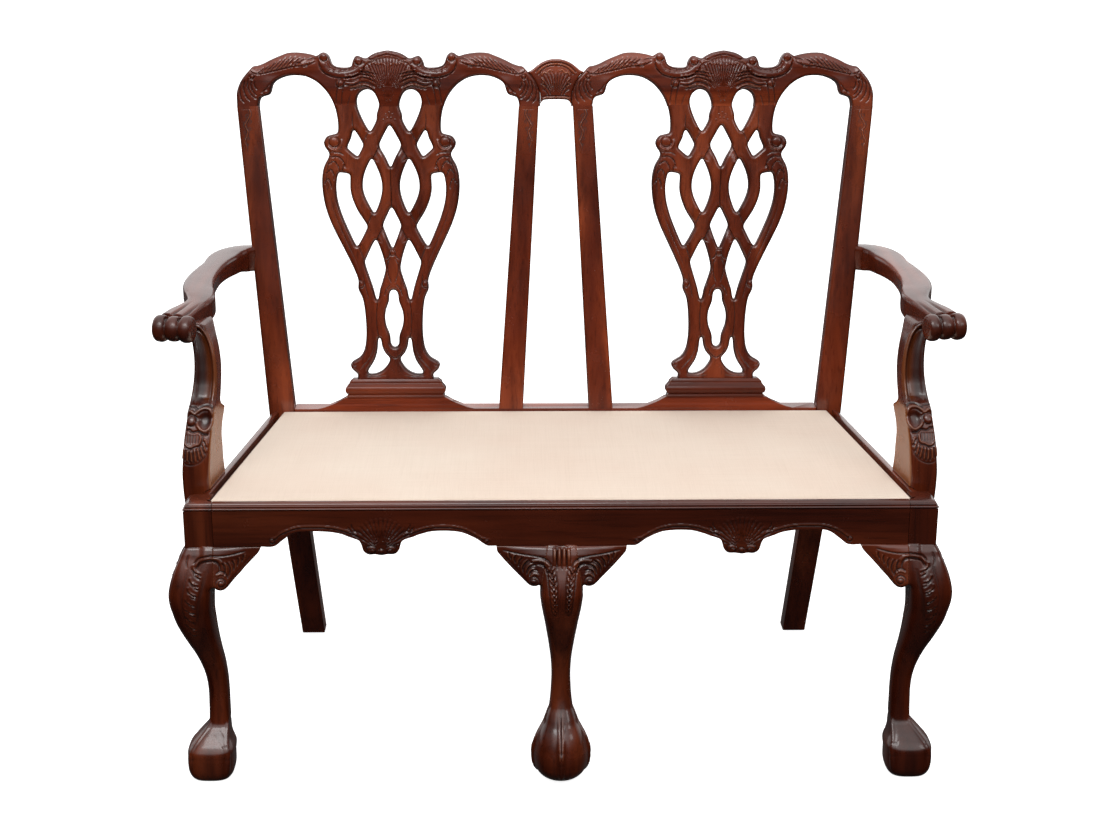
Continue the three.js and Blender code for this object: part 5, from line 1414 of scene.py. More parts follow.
# outlines of the brackets: along the lower edge from inside the leg, round the small volute, out to the tip
FRONT_OUT = grid_distance([(26, 376), (26, 376), (26, 314), (26, 314), (38, 312.8), (42.5, 311.8), (46.5, 309.2), (51.5, 307.6), (56.8, 308.4), (61.2, 311.4), (65.6, 316.2), (73, 324.8),
                           (81, 333.2), (88, 341.4), (96, 350), (104, 358.5), (109, 364.4), (111, 368), (111, 368), (112, 376), (112, 376)], (18, 292), (124, 380))
SIDE_OUT = grid_distance([(26, 376), (26, 376), (26, 314), (26, 314), (42, 312.8), (47, 311.6), (52, 309), (58, 307.6), (64, 308.8), (69, 312), (74, 317.2), (86, 331),
                          (96, 342), (108, 355.6), (117, 365), (119, 368), (119, 368), (120, 376), (120, 376)], (18, 292), (132, 380))
MID_OUT = grid_distance([(8, 376), (8, 376), (8, 315), (8, 315), (28, 315.4), (33, 315), (37, 313), (42, 312.4), (47, 313.4), (51.4, 316.2), (55.4, 319.8), (61, 325), (68, 332),
                         (76, 340.2), (83, 348), (91, 357.4), (95.4, 363.4), (96.4, 367), (96.4, 367), (97, 376), (97, 376)], (0, 292), (110, 380))
front_solid = bracket_solid(FRONT_OUT, [(25, 21), (35, 20), (43, 19), (50, 17.5), (57, 15.5), (65, 13), (73, 10.6), (81, 8.4), (88, 6.2), (96, 4.6), (104, 2.8), (112, 1.6)], 34, (54.0, 318.6))
side_solid = bracket_solid(SIDE_OUT, [(33, 12.8), (48, 12.4), (54, 11.2), (60, 9.9), (67, 8.7), (76, 6.8), (86, 5.3), (96, 3.9), (108, 2.6), (120, 1.5)], 28, (58.0, 318.6))
mid_solid = bracket_solid(MID_OUT, [(12, 21), (22, 20.5), (31, 19), (39, 17), (46, 15.5), (54, 13.6), (61, 11.2), (68, 9.2), (76, 7), (83, 5.2), (91, 3), (98, 1.6)], 34, (42.5, 321.6))


def knee_field():
    leg = leg_field(LEG, (530, 27), (math.sqrt(0.5), -math.sqrt(0.5)), -8.5, False)

    def f(x, y, z):
        d = leg(x, y, z)
        k = z > 292
        if k.any():
            a, b, c = x[k], y[k], z[k]
            d = d.copy()
            m = smin(d[k], front_solid(557 - a, c, -b), 6.0)
            d[k] = smin(m, side_solid(b, c, a - (SIDE_X0 - SIDE_DX * b)), 6.0)
        return d
    return f


def mid_field():
    leg = leg_field(LEG_MID, (0, 21), (0.0, -1.0), 0.0, True)

    def f(x, y, z):
        d = leg(x, y, z)
        k = z > 292
        if k.any():
            d = d.copy()
            d[k] = smin(d[k], mid_solid(np.abs(x[k]), z[k], -y[k]), 6.0)
        return d
    return f


def scroll(c, x, z, r, turn=1.0):
    """a small volute: a groove winding in, with a button in the middle"""
    t = np.linspace(0, 1, 15)
    an = math.radians(200) - turn * t * math.radians(560)
    rr = r * (1 - 0.72 * t)
    c.groove(list(zip(x + rr * np.cos(an), z + rr * np.sin(an))), 1.3, 1.3, taper=(0.1, 0.3), cav=0.8)
    c.dome((x, z), 3.0, 0.35, rim=0.0)


def carve_knee(c):
    """arch and leaves, with w measured from the outer side of the post inwards"""
    c.h += 1.0 * smooth((371.6 - c.s) / 4.5) * smooth((c.s - 353) / 11) * smooth((100 - c.u) / 30)
    c.groove([(14.5, 349.6), (20.4, 356.4), (30, 360), (42, 360.6), (54.7, 360.0), (70, 361.6), (90, 366.4)], 1.4, 1.7, taper=(0.05, 0.15))
    c.ridge([(15.5, 346.6), (21, 353.2), (30.6, 356.8), (42, 357.2), (50, 354.8), (55.5, 348.6)], 2.3, 1.5, taper=0.08)
    c.groove([(17, 341.6), (22, 349.4), (30.6, 353.2), (41, 353.4), (48, 350.4), (51.6, 344.6), (51.6, 338)], 1.7, 2.3, taper=(0.1, 0.15))
    for a, w in (([(56, 350), (59, 342.6), (59, 335.6), (56.4, 330)], 1.5), ([(62, 351), (66, 343), (66.6, 335.4), (64, 329)], 1.3), ([(69.4, 353.4), (72.4, 346), (71.6, 338)], 1.5),
                 ([(77.6, 357), (78.8, 350.4), (76.6, 343.6)], 1.2), ([(86.6, 361.4), (86, 355.4), (83.4, 350)], 1.3)):
        c.groove(a, w, 1.7, taper=(0.12, 0.25))
        c.ridge([(q[0] + 2.5, q[1] + 0.8) for q in a], 1.5, 0.9, taper=(0.15, 0.3), wear=0.5)
    c.groove([(63.4, 320.4), (70.4, 328.2), (78.4, 336.8), (85.6, 344.6), (93.2, 353.6), (99, 360.6)], 1.0, 1.1, taper=(0.1, 0.2), cav=0.7)
    c.groove([(46.4, 334.6), (51, 338), (57.4, 336.8), (61.6, 332), (63.4, 326.6)], 1.3, 1.5, taper=(0.1, 0.2))
    c.ridge([(46.4, 331.6), (51.6, 334.4), (56.8, 333.4), (60.6, 329.4)], 1.7, 1.2, taper=0.12, wear=0.6)
    scroll(c, 53.8, 320.6, 8.4)


def carve_cascade(c):
    """twisted leaves down the middle of each face, by distance from the outer arris and height"""
    mid = [(24.0, 343), (25.6, 330), (26.6, 318), (26.6, 306), (25.2, 294), (23.2, 283), (21.4, 272), (19.6, 262), (17.8, 252), (16.4, 243), (14.6, 232)]
    zs = np.array([p[1] for p in mid][::-1])
    qs = np.array([p[0] for p in mid][::-1])
    zt, k = 348.0, 0
    while zt > 240:
        q = float(np.interp(zt - 6, zs, qs))
        w = (6.6 - 3.0 * (348 - zt) / 100) * (1.0, 0.72, 0.9, 0.6)[k % 4]
        q += (0.0, 1.8, -0.6, 2.2)[k % 4]
        e, dr = 1.1 * math.sin(k * 2.1), (13.5 - 4.0 * (348 - zt) / 100) * (1.0, 0.75, 1.1, 0.8)[k % 4]
        c.groove([(q - w, zt - 1.2 + e), (q - 0.72 * w, zt - 0.45 * dr), (q - 0.1 * w, zt - 0.8 * dr), (q + w, zt - dr - 1.2 - e)], 1.7, (1.9, 1.2)[k % 2], taper=(0.25, 0.2), cav=0.85)
        c.ridge([(q - w, zt + 1.8 + e), (q - 0.7 * w, zt - 0.3 * dr), (q - 0.1 * w, zt - 0.62 * dr), (q + 0.95 * w, zt - 0.84 * dr - e)], 1.2, 0.9, taper=(0.25, 0.25), wear=(1.2, 0.5)[k % 2])
        zt -= 8.2 - 1.6 * (348 - zt) / 100
        k += 1
    c.groove([(33.5, 340), (35.0, 322), (34.2, 302), (31.0, 282), (27.0, 264), (22.0, 250)], 2.2, 0.9, taper=0.2, cav=0.55)
    c.groove([(14.4, 346), (16.0, 330), (16.8, 312), (16.4, 294), (15.2, 276), (13.6, 260), (12.6, 248)], 1.2, 0.6, taper=0.15, cav=0.4)
    c.groove([(8.0, 362), (9.6, 352), (12.6, 344)], 1.4, 1.0, taper=0.3, cav=0.6)


def corner_leg():
    D = math.sqrt(0.5)
    whole_knee = knee_field()

    def f(x, y, z):
        return smax(whole_knee(x, y, z), np.where(z > 291, np.maximum(515.0 - x, y - 42.0), -50.0), 0.2)
    P, Q = surface_net(f, (488, -45, -8), (592, 62, 374), 1.25)
    N = normals_of(P, [Q])
    x, y, z = P.T
    out = ((x - 530) - (y - 27)) * D > 2
    c = Carve(np.abs((x - 530) + (y - 27)) * D, np.where(out, z, -999.0))
    carve_cascade(c)
    k = Carve(np.maximum(557 - x, y), np.where((N[:, 0] - N[:, 1] > 0.1) & (z > 296), z, -999.0))
    carve_knee(k)
    h, cav = c.h + np.where(z > 296, k.h, 0), np.where(np.abs(k.cav) > np.abs(c.cav), k.cav, c.cav)
    cx, cy = 530 + D * 8.0, 27 - D * 8.0 - 8.5 * np.clip((150 - z) / 120, 0, 1)
    u = (x - cx) * D - (y - cy) * D
    v = (x - cx) * D + (y - cy) * D
    hf, cf = carve_foot(u, v, z, False)
    low = z < 125
    return P + N * np.where(low, hf, h)[:, None], [Q], np.where(low, cf, cav)


def post_block():
    """the square corner post above the knee, with the rails' moulding returned round it"""
    X1 = 557.0
    def ring(z, upper):
        d = float(mould(np.array(z)))
        if upper:
            c = [(515.0, d, z), (X1 - d, d, z), (X1 - d, 42, z), (517.4, 42, z), (520.8, 11.9, z), (515.0, 11.9, z)]
            return round_ring(c, [0.2, 1.0, 0.3, 0.3, 0.3, 0.3], 4)
        c = [(515.0, d, z), (X1 - d, d, z), (X1 - d, 42, z), (515.0, 42, z)]
        return round_ring(c, [0.2, 1.2, 0.3, 0.3], 4)
    low = loft([ring(z, False) for z in (370.5, 372.0, 380, 395, 405, 411.9)])
    up = loft([ring(z, True) for z in np.concatenate([[412.0, 420], MOULD[:, 0]])])
    return join(low, up)


P, g, cav = corner_leg()
P2, g2 = post_block()
PJ, gJ = join((P, g), (P2, g2))
make_pair("corner_leg", PJ, gJ, M_LEG, ["front_leg"], cav, slot="polished_mahogany_dark", angle=42, wear=0.6, second=(M_POSTBLOCK, sum(len(x) for x in g)))


def mid_seam(z):
    return 20.9 + np.clip(372 - z, 0, 90) * 0.15


def centre_leg():
    whole_knee = mid_field()

    def f(x, y, z):
        return smax(whole_knee(x, y, z), np.where(z > 291, np.abs(x) - mid_seam(z), -50.0), 0.2)
    P, Q = surface_net(f, (-52, -52, -8), (52, 62, 374), 1.25)
    N = normals_of(P, [Q])
    x, y, z = np.abs(P[:, 0]), P[:, 1], P[:, 2]
    c = Carve(x, np.where((N[:, 1] < 0.2) & (z > 230), z, -999.0))
    carve_mid(c)
    for q in (0.0, 7.4):
        c.groove([(q, 366), (q, 356), (q * 0.94, 340)], 1.7, 2.2, taper=(0.25, 0.35))
    for q in (3.9, 10.8):
        c.ridge([(q, 370), (q, 358), (q * 0.96, 346)], 2.8, 3.0, taper=(0.15, 0.5), wear=1.8)
    for k, (px, pz) in enumerate([(15.7, 339.6), (14.4, 331.5), (12.9, 323.4), (12.0, 315.0), (11.4, 306.8), (10.8, 298.8), (10.4, 291), (10.0, 283.4), (9.6, 276)]):
        w = 4.6 - 0.28 * k
        c.ridge([(px - w, pz + 5.2), (px - 0.5 * w, pz + 0.6), (px, pz - 3.6)], 1.6, 0.9, taper=(0.15, 0.1), wear=0.6)
        c.ridge([(px + w, pz + 5.2), (px + 0.5 * w, pz + 0.6), (px, pz - 3.6)], 1.6, 1.1, taper=(0.15, 0.1), wear=0.8)
        c.groove([(px - w, pz + 1.6), (px - 0.5 * w, pz - 2.6), (px, pz - 6.4), (px + 0.5 * w, pz - 2.6), (px + w, pz + 1.6)], 1.2, 1.2, taper=0.12, cav=0.6)
        c.groove([(px, pz + 5), (px, pz - 1)], 1.0, 1.3, taper=0.1)
    c.groove([(21.4, 337), (19.6, 318), (17.6, 300), (15.4, 282), (13, 268)], 1.2, 1.1, taper=(0.1, 0.2), cav=0.8)
    c.groove([(8.6, 338), (6.6, 318), (6.0, 300), (5.6, 282), (5.6, 268)], 1.2, 1.1, taper=(0.1, 0.2), cav=0.8)
    h, cav = c.h, c.cav
    d, = table([(r[0], r[1]) for r in LEG_MID])(z)
    hf, cf = carve_foot(-(y - (21 - d)), P[:, 0], z, True)
    low = z < 125
    A = (P + N * np.where(low, hf, h)[:, None], [Q])
    tenon = loft([round_ring([(-20, 14, z), (20, 14, z), (20, 42, z), (-20, 42, z)], 0.4, 3) for z in (371.0, 411.4)])
    PJ, gJ = join(A, tenon)
    return PJ, gJ, np.where(low, cf, cav)


def carve_mid(c):
    """the same for the centre knee, with w measured from its middle"""
    c.h += 1.0 * smooth((371.6 - c.s) / 4.5) * smooth((c.s - 350) / 12) * smooth((92 - c.u) / 26)
    c.groove([(14, 342), (17.4, 349.6), (25, 355), (38.2, 358), (63.6, 361.2), (88, 366)], 1.4, 1.7, taper=(0.05, 0.15))
    c.ridge([(14.6, 338), (19, 346.4), (26.4, 350.8), (37, 352), (45, 350.4)], 2.2, 1.5, taper=0.08, wear=0.7)
    c.groove([(21.6, 334.6), (23.6, 341.4), (29, 345.8), (36.4, 347)], 1.6, 2.2, taper=0.1)
    c.dome((19.4, 340.2), 3.6, 1.7)
    for a, w in (([(37.6, 346), (44.4, 344.6), (49.8, 339.2), (51.8, 331)], 1.5), ([(35, 337.4), (40.8, 338.6), (46, 334.6), (47.6, 327.6)], 1.3), ([(47, 352.4), (53.6, 347.6), (57.4, 340.4), (57.4, 333)], 1.4),
                 ([(57.6, 356), (62.8, 349.8), (64, 341.6)], 1.5), ([(67.6, 359.2), (70.2, 352.6), (68.8, 346.4)], 1.2), ([(77, 362.4), (77, 357), (74.6, 352.2)], 1.3)):
        c.groove(a, w, 1.8, taper=(0.1, 0.25))
        c.ridge([(q[0] + 2.5, q[1] + 1.0) for q in a], 1.5, 1.0, taper=(0.15, 0.3), wear=0.6)
    c.groove([(53, 323.6), (58.8, 329), (65.6, 336), (73.6, 344.4), (80.4, 352), (86.4, 359.2)], 1.0, 1.1, taper=(0.1, 0.2), cav=0.7)
    c.ridge([(33.8, 330.6), (38.6, 333), (43.6, 331.6), (47, 327.6)], 1.7, 1.2, taper=0.12, wear=0.7)
    scroll(c, 41.6, 322.2, 7.6)


P, g, cav = centre_leg()
make("centre_leg", P, g, M_LEG, nodes=["front_leg_centre"], cav=cav, slot="polished_mahogany_dark", angle=42, wear=0.6)


# ------------------------------------------------------------------ knee brackets
def bracket_piece(field, lo, hi, place, carve):
    P, Q = surface_net(field, lo, hi, 1.1)
    N = normals_of(P, [Q])
    w, z, facing = place(P, N)
    c = Carve(w, np.where(facing, z, -999.0))
    carve(c)
    c.h[~facing] = 0
    return P + N * (c.h * smooth((371.6 - z) / 1.5))[:, None], [Q], c.cav


def front_bracket():
    whole_knee = knee_field()

    def f(x, y, z):
        return smax(np.maximum(whole_knee(x, y, z), x - 514.9), 293 - z, 0.2)
    return bracket_piece(f, (442, -36, 298), (517, 37, 374), lambda P, N: (557 - P[:, 0], P[:, 2], N[:, 1] < -0.05), carve_knee)


def side_bracket():
    whole_knee = knee_field()

    def f(x, y, z):
        return smax(np.maximum(whole_knee(x, y, z), 42.1 - y), 293 - z, 0.2)
    return bracket_piece(f, (492, 40, 298), (562, 123, 374), lambda P, N: (P[:, 1], P[:, 2], N[:, 0] > 0.05), carve_knee)


def mid_bracket():
    whole_knee = mid_field()

    def f(x, y, z):
        return smax(np.maximum(whole_knee(x, y, z), mid_seam(z) + 0.1 - x), 293 - z, 0.2)
    return bracket_piece(f, (18, -38, 298), (100, 37, 374), lambda P, N: (P[:, 0], P[:, 2], N[:, 1] < -0.05), carve_mid)


P, g, cav = front_bracket()
make_pair("front_bracket", P, g, M_BRACKET, ["front_knee_bracket"], cav, slot="polished_mahogany_dark", angle=0)
P, g, cav = side_bracket()
make_pair("side_bracket", P, g, M_BRACKET, ["side_knee_bracket"], cav, slot="polished_mahogany_dark", angle=0)
P, g, cav = mid_bracket()
make_pair("centre_bracket", P, g, M_BRACKET, ["centre_knee_bracket"], cav, slot="polished_mahogany_dark", angle=0)

# ------------------------------------------------------------------ arms
ARM = [
  [505.6, 488.5, 505.6, 514, 716, 42], [517, 474, 532, 514, 715.5, 40], [527, 455, 554, 496, 714.5, 36], [534, 425, 566, 464, 713, 33], [538, 395, 574, 416, 711.5, 31],
  [541, 360, 583, 371, 710, 29], [542, 325, 588, 334, 708.5, 28.5], [541, 295, 589.5, 302, 707, 28.5], [537, 265, 585.5, 269, 705.5, 29], [531, 238, 577, 240, 704, 31],
  [528, 212, 571, 214, 702, 34], [533, 188, 572, 197, 700, 37], [540.5, 168, 581, 177, 698, 37], [547, 149, 592, 158, 696, 35], [554, 127, 599, 139, 694, 31]]


def arm():
    A = np.array(ARM, float)
    rows = np.column_stack([(A[:, 0] + A[:, 2]) / 2, (A[:, 1] + A[:, 3]) / 2, np.hypot(A[:, 2] - A[:, 0], A[:, 3] - A[:, 1]) / 2, A[:, 4], A[:, 5]])
    ends = [(A[-1, 0], A[-1, 1]), (A[-1, 2], A[-1, 3])]
    C = _catmull(rows, 2.0, False)
    dirs = np.gradient(C[:, :2], axis=0)
    dirs /= np.linalg.norm(dirs, axis=1)[:, None]
    splay = math.radians(10.5)
    ca, sa = math.cos(splay), math.sin(splay)
    LOBE = curve([(-30, 0), (-29.9, 13), (-28.4, 17.4), (-25, 19.6), (-20.4, 20.4), (-16.5, 20.2), (-12.6, 18.6), (-10.0, 15.2), (-8.0, 17.2), (-4.8, 18.7), (0, 19.2),
                  (4.8, 18.7), (8.0, 17.2), (10.0, 15.2), (12.6, 18.6), (16.5, 20.2), (20.4, 20.4), (25, 19.6), (28.4, 17.4), (29.9, 13), (30, 0)], 0.5)

    def plan(x, y):
        best = np.full(len(x), 1e18)
        idx = np.zeros(len(x), int)
        for k in range(len(C)):
            d2 = (x - C[k, 0]) ** 2 + (y - C[k, 1]) ** 2
            q = d2 < best
            best[q] = d2[q]
            idx[q] = k
        T = dirs[idx]
        across = (x - C[idx, 0]) * T[:, 1] - (y - C[idx, 1]) * T[:, 0]
        along = (x - C[idx, 0]) * T[:, 0] + (y - C[idx, 1]) * T[:, 1]
        past = np.where(idx == 0, np.maximum(-along, 0), 0) + np.where(idx == len(C) - 1, np.maximum(along, 0), 0)
        # between samples the along part is used to refine the place
        pos = np.clip(idx + along / 2.0, 0, len(C) - 1)
        return across, past, pos

    def f(x, y, z):
        key = np.round(x * 64).astype(np.int64) * 1000003 + np.round(y * 64).astype(np.int64)
        uk, first, inv = np.unique(key, return_index=True, return_inverse=True)
        a, past, pos = plan(x[first], y[first])
        a, past, pos = a[inv.ravel()], past[inv.ravel()], pos[inv.ravel()]
        k = np.arange(len(C))
        w, zt, th = np.interp(pos, k, C[:, 2]), np.interp(pos, k, C[:, 3]), np.interp(pos, k, C[:, 4])
        # slightly crowned top with a softly rounded edge, a fuller underside
        crown = 1.4 * (a / np.maximum(w, 1)) ** 2
        r = 6.5
        qx = np.abs(a) - (w - r)
        qz = np.abs(z - (zt - crown - th / 2)) - (th / 2 - r)
        body = np.hypot(np.maximum(qx, 0), np.maximum(qz, 0)) + np.minimum(np.maximum(qx, qz), 0) - r
        body = smax(body, past - 0.5, 2.0)
        # roll
        X, Y, Z = x - 574.5, y - 116, z - 674.6
        t = X * ca + Y * sa
        rr = np.sqrt(np.maximum((-X * sa + Y * ca) ** 2 + Z * Z, 1e-9))
        R = np.interp(t, LOBE[:, 0], LOBE[:, 1])
        roll = np.where(np.abs(t) < 30, (rr - R) * 0.9, np.hypot(np.maximum(np.abs(t) - 30, 0), np.maximum(rr - 13, 0)))
        roll = np.maximum(roll, np.abs(t) - 30)
        return smin(body, roll, 3.5)

    P, Q = surface_net(f, (486, 86, 646), (612, 522, 722), 1.5)
    # the channels between the three reeds run back onto the top
    X, Y, Z = P[:, 0] - 574.5, P[:, 1] - 116, P[:, 2] - 674.6
    t = X * ca + Y * sa
    v = -X * sa + Y * ca
    N = normals_of(P, [Q])
    fade = smooth((78 - v) / 60) * smooth((N[:, 2] + 0.15) / 0.4) * smooth((v + 14) / 12)
    h = np.zeros(len(P))
    cav = np.zeros(len(P))
    for q in (-10.2, 10.2):
        at = q * (1 - 0.003 * np.maximum(v, 0)) - 0.16 * np.maximum(v, 0)
        gq = np.exp(-((t - at) / 2.6) ** 2) * fade
        h -= 3.4 * gq
        cav = np.maximum(cav, 0.9 * gq)
    # painted shade in the channels above; the roll made darker overall
    cav = np.maximum(cav, 0.42 * smooth((24 - v) / 14))
    # spiral on the ends of the roll
    rr = np.hypot(v, Z)
    an = np.arctan2(Z, v)
    onend = (np.abs(t) > 28.8) & (rr < 17)
    sp = np.abs(np.sin(0.5 * an + rr * 0.55))
    h -= np.where(onend, 0.5 * np.exp(-(sp / 0.28) ** 2), 0)
    # painted shade in the spiral's groove
    cav = np.where(onend, 0.5 * np.exp(-(sp / 0.28) ** 2), cav)
    P = P + N * h[:, None]
    # cut by the post's outer side
    s = ((P[:, 1] - BACK_Y) * SIN + (P[:, 2] - BACK_Z) * COS)
    edge = 486.5 + 0.0808 * s + 0.3
    P[:, 0] = np.where(P[:, 1] > 440, np.maximum(P[:, 0], edge - 6), P[:, 0])
    return P, [Q], cav


P, g, cav = arm()
make_pair("arm_piece", P, g, M_ARM, ["arm"], cav, angle=0)

# ------------------------------------------------------------------ arm supports
SUPPORT = [
  [380, 84, 122, 34, 0], [384, 73, 134, 38, 0], [394, 66, 143, 40, 0], [415, 61, 147, 41, 0], [445, 60, 145, 41.5, 1], [465, 60, 141, 41.5, 1], [488, 62, 137, 41, 0], [508, 68, 136, 40.5, 0],
  [524, 76, 143, 40, 0], [536, 83, 153, 39.5, 0], [543, 88, 157, 39.5, 0], [550, 91, 145, 39.5, 0], [558, 97, 138, 38.5, 0], [567, 108, 142, 38, 0.4], [585, 119, 150, 36.4, 0.8],
  [610, 126, 157, 34.4, 1.6], [635, 132, 165, 32.0, 5.8], [655, 138, 176, 29.4, 12.8], [668, 142, 190, 27, 19.6]]


def arm_support():
    T = table([r[:5] for r in SUPPORT] + [[678, 143, 196, 26, 23.0]])

    def f(x, y, z):
        y0, y1, t, lean = T(z)
        xi = SIDE_X0 - SIDE_DX * y - 11.5 + lean
        hx, hy = t / 2, (y1 - y0) / 2
        r = 5.5
        qx = np.abs(x - xi - hx) - (hx - r)
        qy = np.abs(y - (y0 + y1) / 2) - (hy - r)
        d = np.hypot(np.maximum(qx, 0), np.maximum(qy, 0)) + np.minimum(np.maximum(qx, qy), 0) - r
        # an arched head under the arm
        a = x - (xi + hx)
        d = smax(d * 0.85, z - 677 + np.maximum(-a - 2, 0) ** 2 * 0.055, 1.5)
        d = smax(d, 380.5 - z, 2.0)
        # lapped on the side rail, whose outer face and moulding it follows
        face = SIDE_X0 - SIDE_DX * y - mould(np.minimum(z, 439.9)) * 0.98 + 0.6
        lap = np.where(z < 440.4, face - x, np.minimum(face - x, 440.4 - z))
        return smax(d, lap, 0.3)

    P, Q = surface_net(f, (470, 54, 376), (566, 204, 682), 1.3)
    N = normals_of(P, [Q])
    z = P[:, 2]
    y0, y1, t, lean = T(z)
    xi = SIDE_X0 - SIDE_DX * P[:, 1] - 11.5 + lean
    a = P[:, 0] - (xi + t / 2)            # across the front, outward positive
    front = smooth((-N[:, 1] - 0.2) / 0.3)
    c = Carve(a, np.where(N[:, 1] < -0.1, z, -999.0))
    # hollow face of the upper part between raised edges, with an arched head
    w = t / 2 - 4.6
    hol = np.clip(1 - (np.abs(a) / np.maximum(w, 5)) ** 3, 0, 1) * smooth((z - 560) / 12) * smooth((672 - 0.05 * a * a - z) / 8)
    h = -4.2 * hol
    c.ridge([(-14, 566), (-14.4, 590), (-13.6, 620), (-12.4, 645), (-10.4, 660), (-5, 669), (1, 672), (7, 669)], 2.6, 1.5, taper=(0.05, 0.1), wear=0.9)
    c.groove([(-11, 562), (-11.2, 590), (-10.4, 620), (-9.2, 645), (-7, 657), (-2, 664.6), (4, 666)], 1.5, 1.0, taper=0.05, cav=0.5)
    c.groove([(14.4, 562), (13.6, 590), (12.6, 620), (11.4, 645)], 1.8, 1.0, taper=0.05, cav=0.8)
    # collar: a round knob outside, a rimmed hollow inside
    eye = np.exp(-(((a + 9.0) / 8.0) ** 2 + ((z - 541.2) / 9.6) ** 2) ** 2)
    h -= 3.4 * eye
    c.dome((11.0, 540.6), 7.4, 4.6, rim=1.0)
    c.ridge([(17.4, 552), (12.4, 552.6), (7.6, 549.4), (3.6, 552.2), (-2, 555.6), (-9, 556.6), (-15, 554.4), (-18.4, 548), (-19, 539.4), (-16.6, 530.8), (-11.6, 526.6), (-5.2, 528.2), (0, 532.8), (4, 539.4)], 2.4, 2.8, taper=(0.05, 0.08), wear=1.2)
    c.ridge([(1.6, 546), (5.4, 548.6)], 1.6, 1.4, taper=0.2)
    c.groove([(20, 558), (10, 559), (4, 556), (-4, 560.6), (-14, 560.4), (-20, 555)], 1.5, 1.4, taper=0.05)
    c.groove([(21, 527), (14, 529), (7.7, 525.4), (-1.4, 526.6), (-8, 522.6), (-15, 522.4)], 1.9, 2.8, taper=0.0)
    # cuff of short reeds above a spread of ribbed fingers
    for x in (15.4, 11.2, 7.0, 2.8, -1.4):
        c.groove([(x, 522.4), (x - 0.4, 509.6)], 1.2, 1.3, taper=0.1)
    c.ridge([(18, 512), (13.6, 506.6), (7.6, 505.4), (2.4, 507.8), (-3.2, 509.4), (-5.4, 514), (-5.6, 521)], 1.6, 1.5, taper=0.06, wear=1.0)
    c.groove([(18, 509), (13.6, 503.6), (7.6, 502.4), (2.4, 504.8), (-4.4, 506), (-8, 512), (-8, 521)], 1.3, 1.8, taper=0.05)
    for q in ([(17.6, 503.6), (18.6, 487.6)], [(12.4, 501), (12.4, 484.6)], [(7.4, 500.4), (5.4, 483.6)], [(2.6, 502), (-0.4, 484)], [(-2.2, 503.6), (-6.6, 486.6)], [(-6.6, 505.6), (-11.6, 491)], [(-10.2, 510), (-14.8, 498.6)], [(-11.6, 517), (-15.8, 507)]):
        c.ridge(q, 1.9, 1.9, taper=(0.1, 0.12), wear=1.0)
    for q in ([(15.2, 502), (15.6, 484)], [(10, 500), (9, 481.6)], [(5, 501), (2.4, 481.6)], [(0.4, 502.6), (-3.6, 483.6)], [(-4.4, 504.6), (-9.2, 487.6)], [(-8.4, 508), (-13.4, 494.6)], [(-11, 513.6), (-15.6, 503)]):
        c.groove(q, 1.3, 2.0, taper=(0.05, 0.15))
    c.groove([(20, 486), (15, 480.4), (7, 478.6), (-1, 480.4), (-8, 484.6), (-13, 491), (-16.6, 499)], 1.5, 1.0, taper=0.1, cav=0.5)
    h = (h + c.h * (z < 676)) * front
    # painted shade in the grooves, in the collar's hollow and on the outer half of the hollow face
    cav = c.cav * front + 0.5 * eye * front + 0.75 * hol * front * smooth((a + 6) / 12)
    inner = smooth((-N[:, 0] - 0.55) / 0.25) * smooth((560 - z) / 10)
    # pale: tan on the inner faces below the collar, and painted light on the inner half of the hollow face and on the
    # inner edge of its front
    pale = 0.95 * inner + 0.22 * hol * front * smooth((2 - a) / 8) + 0.35 * front * smooth((-a - 10) / 5) * smooth((z - 560) / 20)
    return P + N * h[:, None], [Q], cav, pale


P, g, cav, pale = arm_support()
make_pair("arm_support_piece", P, g, M_SUPPORT, ["arm_support"], cav, angle=0, pale=pale)

# ------------------------------------------------------------------ drop-in seat
def seat_x(y):
    return 522.6 - 0.1335 * y - 1.4


def seat_surface(inset, drop, nu=170, nv=72):
    """the seat's upper surface: edges rolled over, a slight crown, faint waves where the cloth is pulled"""
    y0, y1 = 13.0 + inset, 449.2 - inset
    def spread(n):
        t = np.linspace(-1, 1, n + 1)
        return np.sin(t * math.pi / 2) * 0.45 + t * 0.55
    us, vs = spread(nu), spread(nv) * 0.5 + 0.5
    U, V = np.meshgrid(us, y0 + (y1 - y0) * vs)
    W = seat_x(V) - inset
    X = U * W
    e = np.minimum(W - np.abs(X), np.minimum(V - y0, y1 - V))
    R = 5.0
    roll = -R + np.sqrt(np.maximum(R * R - (R - np.minimum(e, R)) ** 2, 0))
    crown = 2.6 * (1 - (X / seat_x(V)) ** 4) * (1 - ((V - 230) / 217) ** 4)
    wave = 0.55 * np.sin(X / 61.0 + 1.3) * np.sin(V / 47.0) + 0.3 * np.sin(X / 23.0 + V / 31.0)
    pull = np.exp(-(V - y0) / 22.0) * (0.5 * np.sin(X / 9.1 + 0.9 * np.sin(X / 37.0)) + 0.5 * np.sin(X / 31.0))
    Z = 441.0 - drop + roll * 0.75 + crown + wave * smooth(e / 50) + pull * smooth(e / 7)
    return X, V, Z


def grid_faces(nv, nu):
    i, j = np.meshgrid(np.arange(nv - 1), np.arange(nu - 1), indexing="ij")
    a = (i * nu + j).ravel()
    ring = np.concatenate([np.arange(nu), np.arange(1, nv) * nu + nu - 1, (nv - 1) * nu + np.arange(nu - 2, -1, -1), np.arange(nv - 2, 0, -1) * nu])
    return np.stack([a, a + 1, a + nu + 1, a + nu], 1), ring


def shrink(b, inset, z):
    q = b.copy()
    q[:, 0] *= 1 - inset / 480.0
    q[:, 1] = 230 + (q[:, 1] - 230) * (1 - inset / 217.0)
    if z is not None:
        q[:, 2] = z
    return q


def wall(prev, n, m):
    ids = n + np.arange(m)
    return np.stack([prev, ids, np.roll(ids, -1), np.roll(prev, -1)], 1), ids


